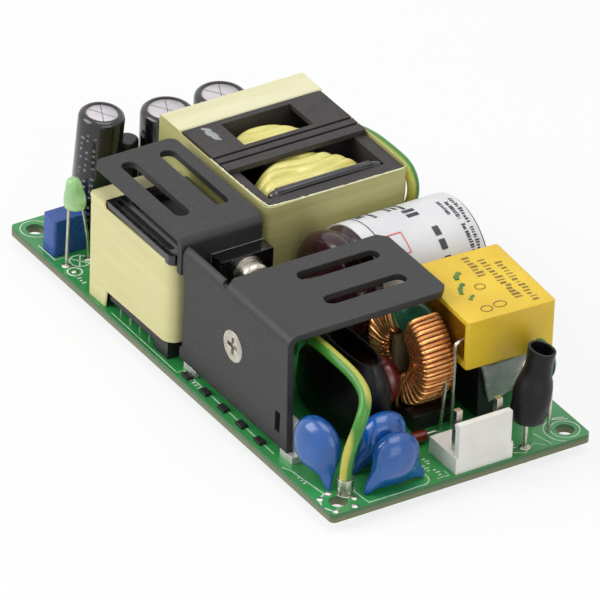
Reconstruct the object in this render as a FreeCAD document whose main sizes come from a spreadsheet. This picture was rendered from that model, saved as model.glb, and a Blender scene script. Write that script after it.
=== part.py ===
import FreeCAD, Part
import math
import os
import types

import Sketcher

# An open frame power supply on a 4 by 2 inch board. Millimetres.
# The origin is midway between the four fixing holes, on the underside of the board.
# X runs along the board, from the output end to the mains input end. Z points up.

DIMENSIONS = {
    # board
    "board_long": 101.6, "board_wide": 50.8, "board_thick": 1.6, "board_corner": 1.0,
    "hole_inset": 3.175, "hole_bore": 3.2,
    # folded aluminium heatsink brackets
    "sheet_thick": 1.2, "bend_radius": 2.0, "slot_wide": 2.9, "relief_bore": 1.4,
    "bracket_gap": 0.9, "primary_long": 33.6, "primary_front": 2.3, "primary_foot": 1.3,
    "primary_high": 23.1, "shoulder_drop": 0.4, "flange_start": 11.7, "flange_reach": 31.4,
    "flange_chamfer": 1.5, "ear_out": 0.75, "ear_high": 4.6, "ear_slant": 1.2, "toe_high": 2.6,
    "primary_slot_long": 15.8, "primary_slot_front": 11.4, "primary_slot_side": 4.9,
    "primary_slot_pitch": 8.3, "window_wide": 2.4, "window_high": 4.0, "window_side": 2.4,
    "window_up": 3.7, "primary_screw_side": 15.3, "primary_screw_up": 12.4,
    "secondary_overhang": 2.1, "secondary_play": 0.3, "secondary_front": 2.1, "secondary_wide": 15.8,
    "secondary_high": 24.4, "secondary_foot": 1.0, "secondary_corner": 1.6,
    "secondary_relief": 2.3, "secondary_relief_high": 16.3,
    "secondary_slot_long": 19.0, "secondary_slot_end": 3.0, "secondary_slot_side": 4.4,
    "secondary_slot_pitch": 7.6, "tab_wide": 3.0,
    # tinned legs riveted inside the primary bracket
    "leg_thick": 0.8, "leg_wide": 3.7, "leg_high": 7.4, "leg_proud": 0.8,
    # plastic power transistors and their fixings
    "case_wide": 10.2, "case_high": 15.5, "case_thick": 4.6, "case_foot": 4.2, "case_step": 1.6,
    "case_slope": 3.4, "case_hole_down": 3.2, "lead_pitch": 2.54, "lead_wide": 0.8,
    "lead_thick": 0.5, "pad_thick": 0.2, "screw_radius": 1.5, "csk_radius": 2.85, "csk_deep": 1.1,
    "pan_radius": 2.75, "pan_high": 2.1, "washer_radius": 3.0, "flat_washer": 0.5,
    "spring_washer": 0.8, "spring_radius": 2.6, "nut_across": 5.5, "nut_high": 2.2,
    "secondary_case_front": 8.0,
    # power factor choke
    "choke_far": 24.4, "choke_long": 24.4, "choke_front": 1.0, "choke_wide": 16.4,
    "choke_tape_foot": 3.2, "choke_tape_high": 19.4, "choke_high": 20.0, "choke_corner": 1.4,
    "choke_skirt": 4.6, "choke_fold": 3.6, "choke_wall": 3.2, "choke_end": 2.6,
    "choke_groove": 1.1, "choke_groove_deep": 0.7, "choke_foot_long": 4.2, "choke_pin_side": 1.2,
    "choke_pin_count": 4, "bobbin_deep": 1.8, "winding_drop": 2.2, "winding_play": 0.3,
    "winding_edge": 1.2, "tape_thick": 0.25,
    # main transformer
    "block_can_gap": 0.4, "block_long": 33.8, "block_gap": 2.5, "block_wide": 27.8,
    "block_base": 1.9, "block_rail_high": 0.5, "block_rail_side": 1.0, "block_rail_end": 2.0,
    "block_frame_high": 23.4, "block_cover_high": 24.4,
    "block_tape_high": 23.8, "block_fold": 7.3, "block_wall": 2.5, "block_end": 8.0,
    "block_near_end": 3.3, "block_corner": 1.6, "cover_long": 13.7, "cover_window": 7.4,
    "cover_window_wide": 13.8, "cover_ridge": 1.0, "cover_groove": 0.6, "cover_groove_deep": 0.45,
    "winding_side": 18.2, "winding_radius": 10.2,
    "winding_bore": 5.6, "winding_high": 23.0, "winding_crown": 2.2, "leg_drop": 1.5,
    "flange_wall": 1.3, "flange_wall_wide": 18.6, "flange_wall_side": 5.1, "flange_wall_high": 3.8,
    "flange_wall_proud": 0.4,
    # bulk capacitor, lying along Y
    "bulk_gap": 0.3, "bulk_radius": 10.5, "bulk_up": 11.75, "bulk_side": 4.8,
    "bulk_long": 26.6, "bulk_edge": 1.9, "crimp_side": 4.0, "crimp_radius": 1.1, "crimp_out": 0.5,
    "label_thick": 0.1, "label_long": 19.0, "label_side": 5.7, "bulk_lead_pitch": 10.0,
    "bulk_lead_out": 1.9,
    # yellow mains filter capacitor and what it rests on
    "film_gap": 1.6, "film_ring_gap": 0.85, "film_long": 19.4, "film_wide": 16.7, "film_high": 9.1,
    "film_up": 11.7, "film_turn": -3.0, "film_rim": 0.9, "film_recess": 0.7, "film_edge": 0.5,
    "bridge_gap": 1.0, "bridge_long": 18.0, "bridge_ring_gap": 4.1, "bridge_thick": 4.0,
    "bridge_foot": 0.6, "bridge_chamfer": 2.2, "bridge_lead_wide": 1.0, "bridge_lead_side": 2.86,
    "bridge_lead_pitch": 4.09, "silicone_side": 4.9, "silicone_long": 8.5, "silicone_gap": 0.6,
    "silicone_wide": 7.4,
    # toroidal common-mode choke, its ring standing across X
    "ring_gap": 1.9, "ring_varistor_gap": 1.45, "ring_up": 10.0, "ring_radius": 7.7,
    "ring_bore_radius": 4.3, "ring_thick": 4.8, "ring_edge": 0.8, "wire_thick": 0.75,
    "turn_count": 19, "turn_angle": 4.9, "turn_pitch": 7.6, "separator_thick": 1.0,
    "separator_proud": 0.4, "ring_base_long": 15.2, "ring_base_wide": 8.1, "ring_base_high": 2.9,
    "cradle_play": 0.1,
    # sleeved line choke under the primary bracket, and the varistor
    "sleeve_end": 5.8, "sleeve_gap": 4.5, "sleeve_long": 20.4, "sleeve_wide": 9.0,
    "sleeve_up": 0.4, "sleeve_high": 15.2, "sleeve_shoulder": 9.5, "sleeve_mouth_long": 14.6,
    "sleeve_mouth_wide": 4.6, "sleeve_wall": 0.6, "coil_radius": 5.4, "coil_bore": 2.4,
    "coil_thick": 4.4, "varistor_side": 2.8, "varistor_gap": 0.45, "varistor_radius": 5.0,
    "varistor_thick": 1.9, "varistor_up": 6.0, "varistor_bevel": 0.66,
    # dipped disc capacitors
    "disc_one_gap": 1.35, "disc_one_side": 1.5, "disc_one_up": 6.6, "disc_two_gap": 1.4,
    "disc_two_side": 2.3, "disc_three_gap": 2.0, "disc_three_side": 1.5, "disc_radius": 4.25,
    "big_disc_radius": 4.3, "disc_thick": 4.4, "disc_bevel": 1.4, "disc_up": 6.1,
    "disc_lead_pitch": 7.5, "pair_lead_pitch": 10.0, "disc_neck": 1.3, "disc_tip": 0.55,
    "disc_foot": 0.385,
    # mains input header
    "header_gap": 6.2, "header_long": 8.0, "header_side": 4.95, "header_wide": 11.2,
    "header_high": 3.1, "wall_thick": 1.2, "wall_high": 9.3, "wall_lip": 0.4, "wall_lip_high": 1.3,
    "pin_back": 2.6, "pin_side": 1.65, "pin_span": 7.92, "pin_square": 1.14, "pin_high": 10.8,
    # fuse in its sleeve, thermistor, diode
    "fuse_back": 1.5, "fuse_gap": 3.5, "fuse_lean": 9.0, "fuse_foot": 5.6, "fuse_long": 13.8,
    "fuse_radius": 3.4, "fuse_foot_radius": 2.65, "fuse_mouth_radius": 2.2, "fuse_wall": 0.45,
    "fuse_swell": 4.2, "fuse_waist": 8.4, "fuse_neck": 10.9, "fuse_core_up": 0.9, "fuse_core_long": 8.9,
    "fuse_body_radius": 2.0, "thermistor_gap": 0.8, "thermistor_side": 3.4, "thermistor_pitch": 5.0,
    "thermistor_radius": 3.4, "thermistor_thick": 3.0, "thermistor_up": 13.0, "wire_lead": 0.7,
    "diode_gap": 3.2, "diode_side": 5.45, "diode_radius": 1.0, "diode_long": 3.6,
    "diode_span": 7.6, "diode_up": 1.3, "diode_edge": 0.45,
    # output end
    "trimmer_far": 8.6, "trimmer_long": 3.9, "trimmer_front": 1.2, "trimmer_wide": 6.5,
    "trimmer_high": 7.0, "trimmer_edge": 0.5, "rotor_radius": 1.6, "rotor_thick": 0.8,
    "rotor_play": 0.12, "rotor_slot": 0.5, "rotor_slot_long": 2.4, "rotor_up": 3.9,
    "lamp_far": 15.5, "lamp_front": 1.8, "lamp_pitch": 2.54, "lamp_up": 11.4, "lamp_radius": 1.4,
    "lamp_flange_radius": 1.8, "lamp_flange_high": 2.4, "lamp_high": 5.3, "lamp_dome": 1.26,
    "lamp_lead": 0.5,
    "can_one_far": 8.6, "can_one_gap": 0.35, "can_one_radius": 4.0, "can_one_high": 23.2,
    "can_two_gap": 0.1, "can_row_pitch": 12.3, "can_two_radius": 4.6, "can_two_high": 20.8,
    "can_pair_gap": 0.85, "can_three_radius": 4.6, "can_groove": 0.6, "can_groove_up": 2.2,
    "can_groove_out": 0.18,
    "can_lead_pitch": 3.5, "can_edge": 0.6, "can_top_drop": 0.25, "can_top_margin": 1.1,
    "rod_far": 7.8, "rod_radius": 1.95, "rod_high": 16.3, "rod_edge": 0.5,
    "output_far": 0.3, "output_long": 4.8, "output_front": 18.6, "output_pins": 6,
    "output_pitch": 3.96, "output_high": 3.1, "output_wall_high": 9.3, "output_wall": 1.1,
    "output_pin_side": 3.0,
    # earth wire and its crimped ends
    "earth_radius": 1.05, "ferrule_radius": 1.4, "ferrule_high": 3.0, "earth_start_side": 6.4,
    "earth_start_back": 1.7, "earth_finish_far": 6.2, "earth_finish_back": 1.0,
    # bent leads
    "film_lead_side": 6.984, "film_lead_deep": 0.4, "film_lead_out": 1.6, "film_lead_up": 4.2,
    "film_lead_drop": 0.4, "ring_lead_back": 1.2, "ring_lead_drop": 1.0, "ring_lead_foot": 0.4,
    # solder joints and small surface parts
    "block_pin_end": 7.0, "block_pin_pitch": 5.0, "ring_pin_side": 6.0, "ring_pin_row": 2.6,
    "joint_radius": 1.25, "joint_tip": 0.45, "joint_high": 1.3, "chip_long": 2.0, "chip_wide": 1.25,
    "chip_high": 0.8, "top_chip_high": 0.56, "top_chip_pitch": 5.6, "top_chip_side": 2.6,
    "top_chip_front": 0.7, "package_long": 5.0, "package_wide": 4.0, "under_chip_pitch": 5.4,
    "under_chip_row": 5.0,
}

TRIMMER_SLOT_ANGLE = 30
JOINT_SIDES = 8
CROSS_LONG, CROSS_WIDE, CROSS_DEEP = 1.15, 0.28, 0.65
PAN_ROUND = 0.55
WINDING_ROUND = 0.42
RIM_DROP = 0.6
HIP_OUT, HIP_DOWN = 0.5, 0.35
LEAD_BEND = 0.3
THERMISTOR_LEAD_REACH = 0.9
BLOCK_PIN_COUNT = 5
TOP_CHIP_COUNT = 5
UNDER_CHIP_COLUMNS, UNDER_CHIP_ROWS = 5, 2
AXIS_TURN = {
    "x": FreeCAD.Rotation(FreeCAD.Vector(0, 1, 0), 90),
    "y": FreeCAD.Rotation(FreeCAD.Vector(1, 0, 0), -90),
    "z": FreeCAD.Rotation(),
}
PLANES = {"XY": ("XY_Plane", 1), "XZ": ("XZ_Plane", -1), "YZ": ("YZ_Plane", 1)}


class Size:
    """A length that keeps its value and the spreadsheet expression that gives it."""

    def __init__(self, value, text):
        self.value = value
        self.text = text

    def __float__(self):
        return self.value

    def __neg__(self):
        return Size(-self.value, f"-({self.text})")

    def __add__(self, other):
        other = as_size(other)
        return Size(self.value + other.value, f"({self.text} + {other.text})")

    def __sub__(self, other):
        other = as_size(other)
        return Size(self.value - other.value, f"({self.text} - {other.text})")

    def __mul__(self, number):
        return Size(self.value * float(number), f"({self.text} * {as_size(number).text})")

    def __truediv__(self, number):
        return Size(self.value / float(number), f"({self.text} / {as_size(number).text})")

    def __radd__(self, other):
        return as_size(other) + self

    def __rsub__(self, other):
        return as_size(other) - self

    __rmul__ = __mul__


def as_size(thing):
    return thing if isinstance(thing, Size) else Size(float(thing), f"({float(thing)!r})")


doc = FreeCAD.newDocument("OpenFramePowerSupply")
sheet = doc.addObject("Spreadsheet::Sheet", "Dims")
for row, (alias, number) in enumerate(DIMENSIONS.items(), start=1):
    sheet.set(f"A{row}", alias)
    sheet.set(f"B{row}", str(number))
    sheet.setAlias(f"B{row}", alias)
doc.recompute()
d = types.SimpleNamespace(
    **{alias: Size(float(getattr(sheet, alias)), f"Dims.{alias}") for alias in DIMENSIONS}
)

far_end = -d.board_long / 2
near_end = d.board_long / 2
front_edge = -d.board_wide / 2
back_edge = d.board_wide / 2
board_top = d.board_thick
nodes = []

# The parts stand in rows from the output end to the input end and from the front to the back,
# each a clearance away from the one before it.
trimmer_x = far_end + d.trimmer_far
trimmer_y = front_edge + d.trimmer_front
output_x = far_end + d.output_far
can_one_x = far_end + d.can_one_far
can_one_y = trimmer_y + d.trimmer_wide + d.can_one_gap + d.can_one_radius
rod_x = far_end + d.rod_far
rod_y = can_one_y + d.can_one_radius + d.rod_radius
can_two_x = output_x + d.output_long + d.can_two_gap + d.can_two_radius
can_two_y = can_one_y + d.can_row_pitch
can_three_y = can_two_y + d.can_two_radius + d.can_pair_gap + d.can_three_radius
choke_x = far_end + d.choke_far
choke_end = choke_x + d.choke_long
choke_y = front_edge + d.choke_front
choke_back = choke_y + d.choke_wide
block_x = can_two_x + d.can_two_radius + d.block_can_gap
block_end = block_x + d.block_long
block_y = choke_back + d.block_gap
block_back = block_y + d.block_wide
secondary_x = choke_x - d.secondary_overhang
secondary_inner = choke_end + d.secondary_play
secondary_face = secondary_inner + d.sheet_thick
primary_x = secondary_face + d.bracket_gap
primary_end = primary_x + d.primary_long
primary_face = front_edge + d.primary_front
primary_inner = primary_face + d.sheet_thick
bulk_x = block_end + d.bulk_gap + d.bulk_radius
bulk_side = bulk_x + d.bulk_radius
bulk_lead_face = block_y + d.bulk_side
wound_radius = d.ring_radius + d.wire_thick
wound_bore = d.ring_bore_radius - d.wire_thick
wound_half = d.ring_thick / 2 + d.wire_thick
sleeve_x = primary_end - d.sleeve_end
sleeve_y = primary_inner + d.pad_thick + d.case_thick + d.sleeve_gap + d.sleeve_wide / 2
varistor_x = sleeve_x + d.varistor_side
varistor_y = sleeve_y + d.sleeve_wide / 2 + d.varistor_gap + d.varistor_thick / 2
ring_x = bulk_side + d.ring_gap + d.ring_base_long / 2
ring_y = varistor_y + d.varistor_thick / 2 + d.ring_varistor_gap + d.separator_proud + wound_half
film_x = bulk_side + d.film_gap + d.film_long / 2
film_y = ring_y + wound_half + d.film_ring_gap + d.film_wide / 2
bridge_x = bulk_side + d.bridge_gap
bridge_y = ring_y + wound_half + d.bridge_ring_gap
disc_one_x = primary_end + d.disc_one_gap + d.disc_radius
disc_one_y = primary_face + d.disc_one_side
disc_two_x = sleeve_x + d.sleeve_long / 2 + d.disc_two_gap + d.disc_thick / 2
disc_two_y = sleeve_y - d.disc_two_side
disc_three_x = disc_two_x + d.disc_thick + d.disc_three_gap
disc_three_y = disc_two_y - d.disc_three_side
ring_base_end = ring_x + d.ring_base_long / 2
diode_x = ring_base_end + d.diode_gap
diode_y = ring_y - d.diode_side
header_x = ring_base_end + d.header_gap
header_end = header_x + d.header_long
header_y = ring_y - d.header_side
pin_x = header_end - d.pin_back
fuse_x = header_end - d.fuse_back
fuse_y = header_y + d.header_wide + d.fuse_gap
thermistor_x = film_x + d.film_long / 2 + d.thermistor_gap + d.thermistor_radius
thermistor_y = film_y + d.thermistor_side
earth_start = (disc_one_x + d.earth_start_side, disc_one_y + d.earth_start_back)
earth_finish = (far_end + d.earth_finish_far, block_back - d.earth_finish_back)


def link(thing, path, size):
    thing.setExpression(path, as_size(size).text)


def move_to(thing, corner, turn=None):
    if turn is not None:
        thing.Placement = FreeCAD.Placement(FreeCAD.Vector(), turn)
    for axis, size in zip("xyz", corner):
        link(thing, f"Placement.Base.{axis}", size)


def box(name, corner, sizes):
    piece = doc.addObject("Part::Box", name)
    for path, size in zip(("Length", "Width", "Height"), sizes):
        link(piece, path, size)
    move_to(piece, corner)
    return piece


def cylinder(name, start, radius, long, axis="z"):
    piece = doc.addObject("Part::Cylinder", name)
    link(piece, "Radius", radius)
    link(piece, "Height", long)
    move_to(piece, start, AXIS_TURN[axis])
    return piece


def cone(name, start, radius, end_radius, long, axis="z"):
    piece = doc.addObject("Part::Cone", name)
    link(piece, "Radius1", radius)
    link(piece, "Radius2", end_radius)
    link(piece, "Height", long)
    move_to(piece, start, AXIS_TURN[axis])
    return piece


def fuse(name, *pieces):
    joined = doc.addObject("Part::MultiFuse", name)
    joined.Shapes = list(pieces)
    return joined


def cut(name, base, tool):
    left = doc.addObject("Part::Cut", name)
    left.Base = base
    left.Tool = tool
    return left


def group(name, pieces):
    together = doc.addObject("Part::Compound", name)
    together.Links = list(pieces)
    return together


def shaped(name, shape):
    piece = doc.addObject("Part::Feature", name)
    piece.Shape = shape
    return piece


def vector(*sizes):
    return FreeCAD.Vector(*(float(size) for size in sizes))


def new_body(name):
    return doc.addObject("PartDesign::Body", name)


def origin_part(body, role):
    return next(part for part in body.Origin.OriginFeatures if part.Role == role)


class Drawing:
    """A sketch on an origin plane of a body, moved to a place on that plane's own axis."""

    def __init__(self, body, plane, place=0):
        role, self.sense = PLANES[plane]
        self.body = body
        self.sketch = body.newObject("Sketcher::SketchObject", f"{body.Name}_sketch")
        self.sketch.AttachmentSupport = (origin_part(body, role), [""])
        self.sketch.MapMode = "FlatFace"
        link(self.sketch, "AttachmentOffset.Base.z", as_size(place) * self.sense)

    def hold(self, kind, parts, size):
        size = as_size(size)
        number = self.sketch.addConstraint(Sketcher.Constraint(kind, *parts, size.value))
        link(self.sketch, f"Constraints[{number}]", size)

    def outline(self, corners):
        """A closed figure of straight edges, each corner held from the origin."""
        first = self.sketch.GeometryCount
        spots = [vector(across, up, 0) for across, up in corners]
        for start, end in zip(spots, spots[1:] + spots[:1]):
            self.sketch.addGeometry(Part.LineSegment(start, end), False)
        count = len(spots)
        for step in range(count):
            after = first + (step + 1) % count
            self.sketch.addConstraint(Sketcher.Constraint("Coincident", first + step, 2, after, 1))
        for step, (across, up) in enumerate(corners):
            self.hold("DistanceX", (-1, 1, first + step, 1), across)
            self.hold("DistanceY", (-1, 1, first + step, 1), up)
        return self

    def rectangle(self, left, low, wide, high):
        right, top = as_size(left) + wide, as_size(low) + high
        return self.outline([(left, low), (right, low), (right, top), (left, top)])

    def circle(self, across, up, radius):
        number = self.sketch.GeometryCount
        centre = vector(across, up, 0)
        ring = Part.Circle(centre, FreeCAD.Vector(0, 0, 1), float(radius))
        self.sketch.addGeometry(ring, False)
        self.hold("DistanceX", (-1, 1, number, 3), across)
        self.hold("DistanceY", (-1, 1, number, 3), up)
        self.hold("Radius", (number,), radius)
        return self

    def pad(self, long):
        feature = self.body.newObject("PartDesign::Pad", "Pad")
        feature.Profile = self.sketch
        feature.Reversed = self.sense < 0
        link(feature, "Length", long)
        return feature

    def pocket(self, deep):
        """Cuts from the sketch towards the low side of its axis."""
        feature = self.body.newObject("PartDesign::Pocket", "Pocket")
        feature.Profile = self.sketch
        feature.Reversed = self.sense < 0
        link(feature, "Length", deep)
        return feature

    def revolve(self, kind="PartDesign::Revolution", angle=360):
        feature = self.body.newObject(kind, "Turned")
        feature.Profile = self.sketch
        feature.ReferenceAxis = (self.sketch, ["V_Axis"])
        link(feature, "Angle", angle)
        return feature


def straight_edges(shape, axis, spots):
    """Names of the straight edges along one axis whose middles lie at the given places."""
    along = {"x": FreeCAD.Vector(1, 0, 0), "y": FreeCAD.Vector(0, 1, 0), "z": FreeCAD.Vector(0, 0, 1)}
    found = []
    for number, edge in enumerate(shape.Edges, start=1):
        if edge.Curve.TypeId != "Part::GeomLine":
            continue
        if abs(edge.tangentAt(edge.FirstParameter).dot(along[axis])) < 0.999:
            continue
        middle = edge.valueAt((edge.FirstParameter + edge.LastParameter) / 2)
        for spot in spots:
            offsets = [abs(m - float(s)) for m, s in zip(middle, spot) if s is not None]
            if max(offsets, default=0) < 0.01:
                found.append(f"Edge{number}")
                break
    return found


def dress(body, kind, size, names):
    tip = body.Tip
    feature = body.newObject(f"PartDesign::{kind}", kind)
    feature.Base = (tip, names)
    link(feature, "Radius" if kind == "Fillet" else "Size", size)
    return feature


def round_edges(body, radius, axis, *spots):
    doc.recompute()
    names = straight_edges(body.Tip.Shape, axis, spots or [(None, None, None)])
    return dress(body, "Fillet", radius, names)


def chamfer_edges(body, size, axis, *spots):
    doc.recompute()
    return dress(body, "Chamfer", size, straight_edges(body.Tip.Shape, axis, spots))


def round_rims(body, radius, keep):
    """Rounds the full circles whose centres pass the test."""
    doc.recompute()
    names = []
    for number, edge in enumerate(body.Tip.Shape.Edges, start=1):
        if edge.Curve.TypeId == "Part::GeomCircle" and keep(edge.Curve.Center, edge.Curve.Radius):
            names.append(f"Edge{number}")
    return dress(body, "Fillet", radius, names)


def slot_cutter(name, centre, long, wide, high, axis):
    """A bar with round ends, standing along Z, to cut a slot through a sheet."""
    x, y, z = centre
    straight = long - wide
    if axis == "x":
        middle = box(f"{name}_middle", (x - straight / 2, y - wide / 2, z), (straight, wide, high))
        ends = [(x - straight / 2, y, z), (x + straight / 2, y, z)]
    else:
        middle = box(f"{name}_middle", (x - wide / 2, y - straight / 2, z), (wide, straight, high))
        ends = [(x, y - straight / 2, z), (x, y + straight / 2, z)]
    rounds = [cylinder(f"{name}_end", end, wide / 2, high) for end in ends]
    return fuse(name, middle, *rounds)


def rounded_path(points, share=0.45):
    """Straight runs joined by tangent arcs, each as large as its two runs allow."""
    spots = [vector(*point) for point in points]
    edges = []
    start = spots[0]
    for before, corner, after in zip(spots, spots[1:], spots[2:]):
        back = (before - corner).normalize()
        ahead = (after - corner).normalize()
        reach = share * min((before - corner).Length, (after - corner).Length)
        turn = math.pi - back.getAngle(ahead)
        radius = reach / math.tan(turn / 2)
        inward = (back + ahead).normalize()
        centre = corner + inward * math.hypot(radius, reach)
        middle = centre - inward * radius
        entry = corner + back * reach
        leave = corner + ahead * reach
        edges.append(Part.LineSegment(start, entry).toShape())
        edges.append(Part.Arc(entry, middle, leave).toShape())
        start = leave
    edges.append(Part.LineSegment(start, spots[-1]).toShape())
    return Part.Wire(edges), (spots[1] - spots[0]).normalize()


def tube(points, radius, share=0.45):
    path, heading = rounded_path(points, share)
    ring = Part.Wire(Part.Circle(vector(*points[0]), heading, float(radius)).toShape())
    return path.makePipeShell([ring], True, False)


def keep_node(piece):
    nodes.append(piece)


def corners_of(corner, sizes):
    """The four upright edges of a block, as places to look for."""
    x, y = corner
    long, wide = sizes
    return [(across, along, None) for across in (x, x + long) for along in (y, y + wide)]


def circuit_board():
    piece = new_body("circuit_board")
    Drawing(piece, "XY").rectangle(far_end, front_edge, d.board_long, d.board_wide).pad(d.board_thick)
    round_edges(piece, d.board_corner, "z")
    holes = Drawing(piece, "XY", board_top)
    for x in (far_end + d.hole_inset, near_end - d.hole_inset):
        for y in (front_edge + d.hole_inset, back_edge - d.hole_inset):
            holes.circle(x, y, d.hole_bore / 2)
    holes.pocket(d.board_thick)
    keep_node(piece)


# The primary bracket: a side plate along the front edge, with a flange folded over the chokes.
primary_top = board_top + d.primary_high
primary_foot = board_top + d.primary_foot
flange_x = primary_x + d.flange_start
flange_back = primary_face + d.flange_reach
primary_screw_x = primary_x + d.primary_screw_side
primary_screw_z = board_top + d.primary_screw_up


def primary_bracket():
    piece = new_body("primary_bracket_blank")
    shoulder = primary_top - d.shoulder_drop
    ear_low = shoulder - d.ear_high
    toe_top = primary_foot + d.toe_high
    Drawing(piece, "XZ", primary_face).outline([
        (primary_x - d.ear_out, shoulder), (primary_x - d.ear_out, ear_low),
        (primary_x, ear_low - d.ear_slant), (primary_x, toe_top),
        (primary_x - d.ear_out, toe_top - d.ear_slant / 2), (primary_x - d.ear_out, primary_foot),
        (primary_end, primary_foot), (primary_end, primary_top), (flange_x, primary_top),
        (flange_x, shoulder),
    ]).pad(d.sheet_thick)
    Drawing(piece, "XY", primary_top - d.sheet_thick).rectangle(
        flange_x, primary_face, primary_end - flange_x, d.flange_reach
    ).pad(d.sheet_thick)
    round_edges(piece, d.bend_radius, "x", (None, primary_face, primary_top))
    round_edges(
        piece, d.bend_radius - d.sheet_thick, "x", (None, primary_inner, primary_top - d.sheet_thick)
    )
    chamfer_edges(
        piece, d.flange_chamfer, "z", (flange_x, flange_back, None), (primary_end, flange_back, None)
    )
    openings = Drawing(piece, "XZ", primary_inner)
    openings.rectangle(
        primary_end - d.window_side - d.window_wide, board_top + d.window_up,
        d.window_wide, d.window_high,
    )
    openings.circle(primary_screw_x, primary_screw_z, d.screw_radius)
    openings.pocket(d.sheet_thick)
    relief = Drawing(piece, "XZ", primary_face + d.bend_radius)
    relief.circle(flange_x, primary_top - d.relief_bore / 2, d.relief_bore / 2)
    relief.pocket(d.bend_radius)
    slots = []
    for count in range(2):
        centre = (
            flange_x + d.primary_slot_side + count * d.primary_slot_pitch,
            primary_face + d.primary_slot_front + d.primary_slot_long / 2,
            primary_top - d.sheet_thick,
        )
        name = f"primary_slot_{count + 1}"
        slots.append(slot_cutter(name, centre, d.primary_slot_long, d.slot_wide, d.sheet_thick, "y"))
    sink = cone(
        "primary_countersink", (primary_screw_x, primary_face, primary_screw_z),
        d.csk_radius, d.csk_radius - d.csk_deep, d.csk_deep, "y",
    )
    keep_node(cut("primary_bracket", piece, fuse("primary_cutters", *slots, sink)))


def primary_legs():
    legs = []
    for x in (primary_x + d.leg_proud, primary_end + d.leg_proud - d.leg_wide):
        leg = box("primary_leg", (x, primary_inner, board_top), (d.leg_wide, d.leg_thick, d.leg_high))
        foot = box(
            "primary_foot", (x, primary_face, board_top),
            (d.leg_wide, d.sheet_thick, primary_foot - board_top),
        )
        legs.append(fuse("primary_leg_and_foot", leg, foot))
    keep_node(group("primary_bracket_legs", legs))


# The secondary bracket: a slotted top over the power factor choke, folded down beside it.
secondary_y = front_edge + d.secondary_front
secondary_back = secondary_y + d.secondary_wide
secondary_top = board_top + d.secondary_high
secondary_foot = board_top + d.secondary_foot
secondary_case_y = front_edge + d.secondary_case_front
secondary_screw_y = secondary_case_y + d.case_wide / 2
case_hole_z = board_top + d.case_foot + d.case_high - d.case_hole_down


def secondary_bracket():
    piece = new_body("secondary_bracket_blank")
    below = secondary_top - d.sheet_thick
    Drawing(piece, "XZ", secondary_y).outline([
        (secondary_x, below), (secondary_inner, below), (secondary_inner, secondary_foot),
        (secondary_face, secondary_foot), (secondary_face, secondary_top), (secondary_x, secondary_top),
    ]).pad(d.secondary_wide)
    round_edges(piece, d.bend_radius, "y", (secondary_face, None, secondary_top))
    round_edges(piece, d.bend_radius - d.sheet_thick, "y", (secondary_inner, None, below))
    round_edges(
        piece, d.secondary_corner, "z", (secondary_x, secondary_y, None), (secondary_x, secondary_back, None)
    )
    tabs = Drawing(piece, "XY", board_top)
    for y in (secondary_y + d.secondary_relief + d.tab_wide / 2, secondary_back - d.tab_wide * 1.5):
        tabs.rectangle(secondary_inner, y, d.sheet_thick, d.tab_wide)
    tabs.pad(d.secondary_foot)
    hole = Drawing(piece, "YZ", secondary_face).circle(secondary_screw_y, case_hole_z, d.screw_radius)
    hole.pocket(d.sheet_thick)
    slots = []
    for count in range(2):
        centre = (
            secondary_x + d.secondary_slot_end + d.secondary_slot_long / 2,
            secondary_y + d.secondary_slot_side + count * d.secondary_slot_pitch,
            below,
        )
        name = f"secondary_slot_{count + 1}"
        slots.append(slot_cutter(name, centre, d.secondary_slot_long, d.slot_wide, d.sheet_thick, "x"))
    relief = box(
        "secondary_relief_cutter", (secondary_inner, secondary_y, secondary_foot),
        (d.sheet_thick, d.secondary_relief, d.secondary_relief_high),
    )
    keep_node(cut("secondary_bracket", piece, fuse("secondary_cutters", *slots, relief)))


def transistor_case(name):
    """A moulded case, flat at the back, with a sloped step down from its fixing hole."""
    piece = new_body(name)
    low = board_top + d.case_foot
    high = low + d.case_high
    step_low = high - 2 * d.case_hole_down
    side = [
        (0, low), (d.case_thick, low), (d.case_thick, step_low - d.case_slope / 2),
        (d.case_thick - d.case_step, step_low), (d.case_thick - d.case_step, high), (0, high),
    ]
    Drawing(piece, "XZ").outline(side).pad(d.case_wide)
    Drawing(piece, "YZ", d.case_thick).circle(d.case_wide / 2, case_hole_z, d.screw_radius).pocket(
        d.case_thick
    )
    return piece


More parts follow.
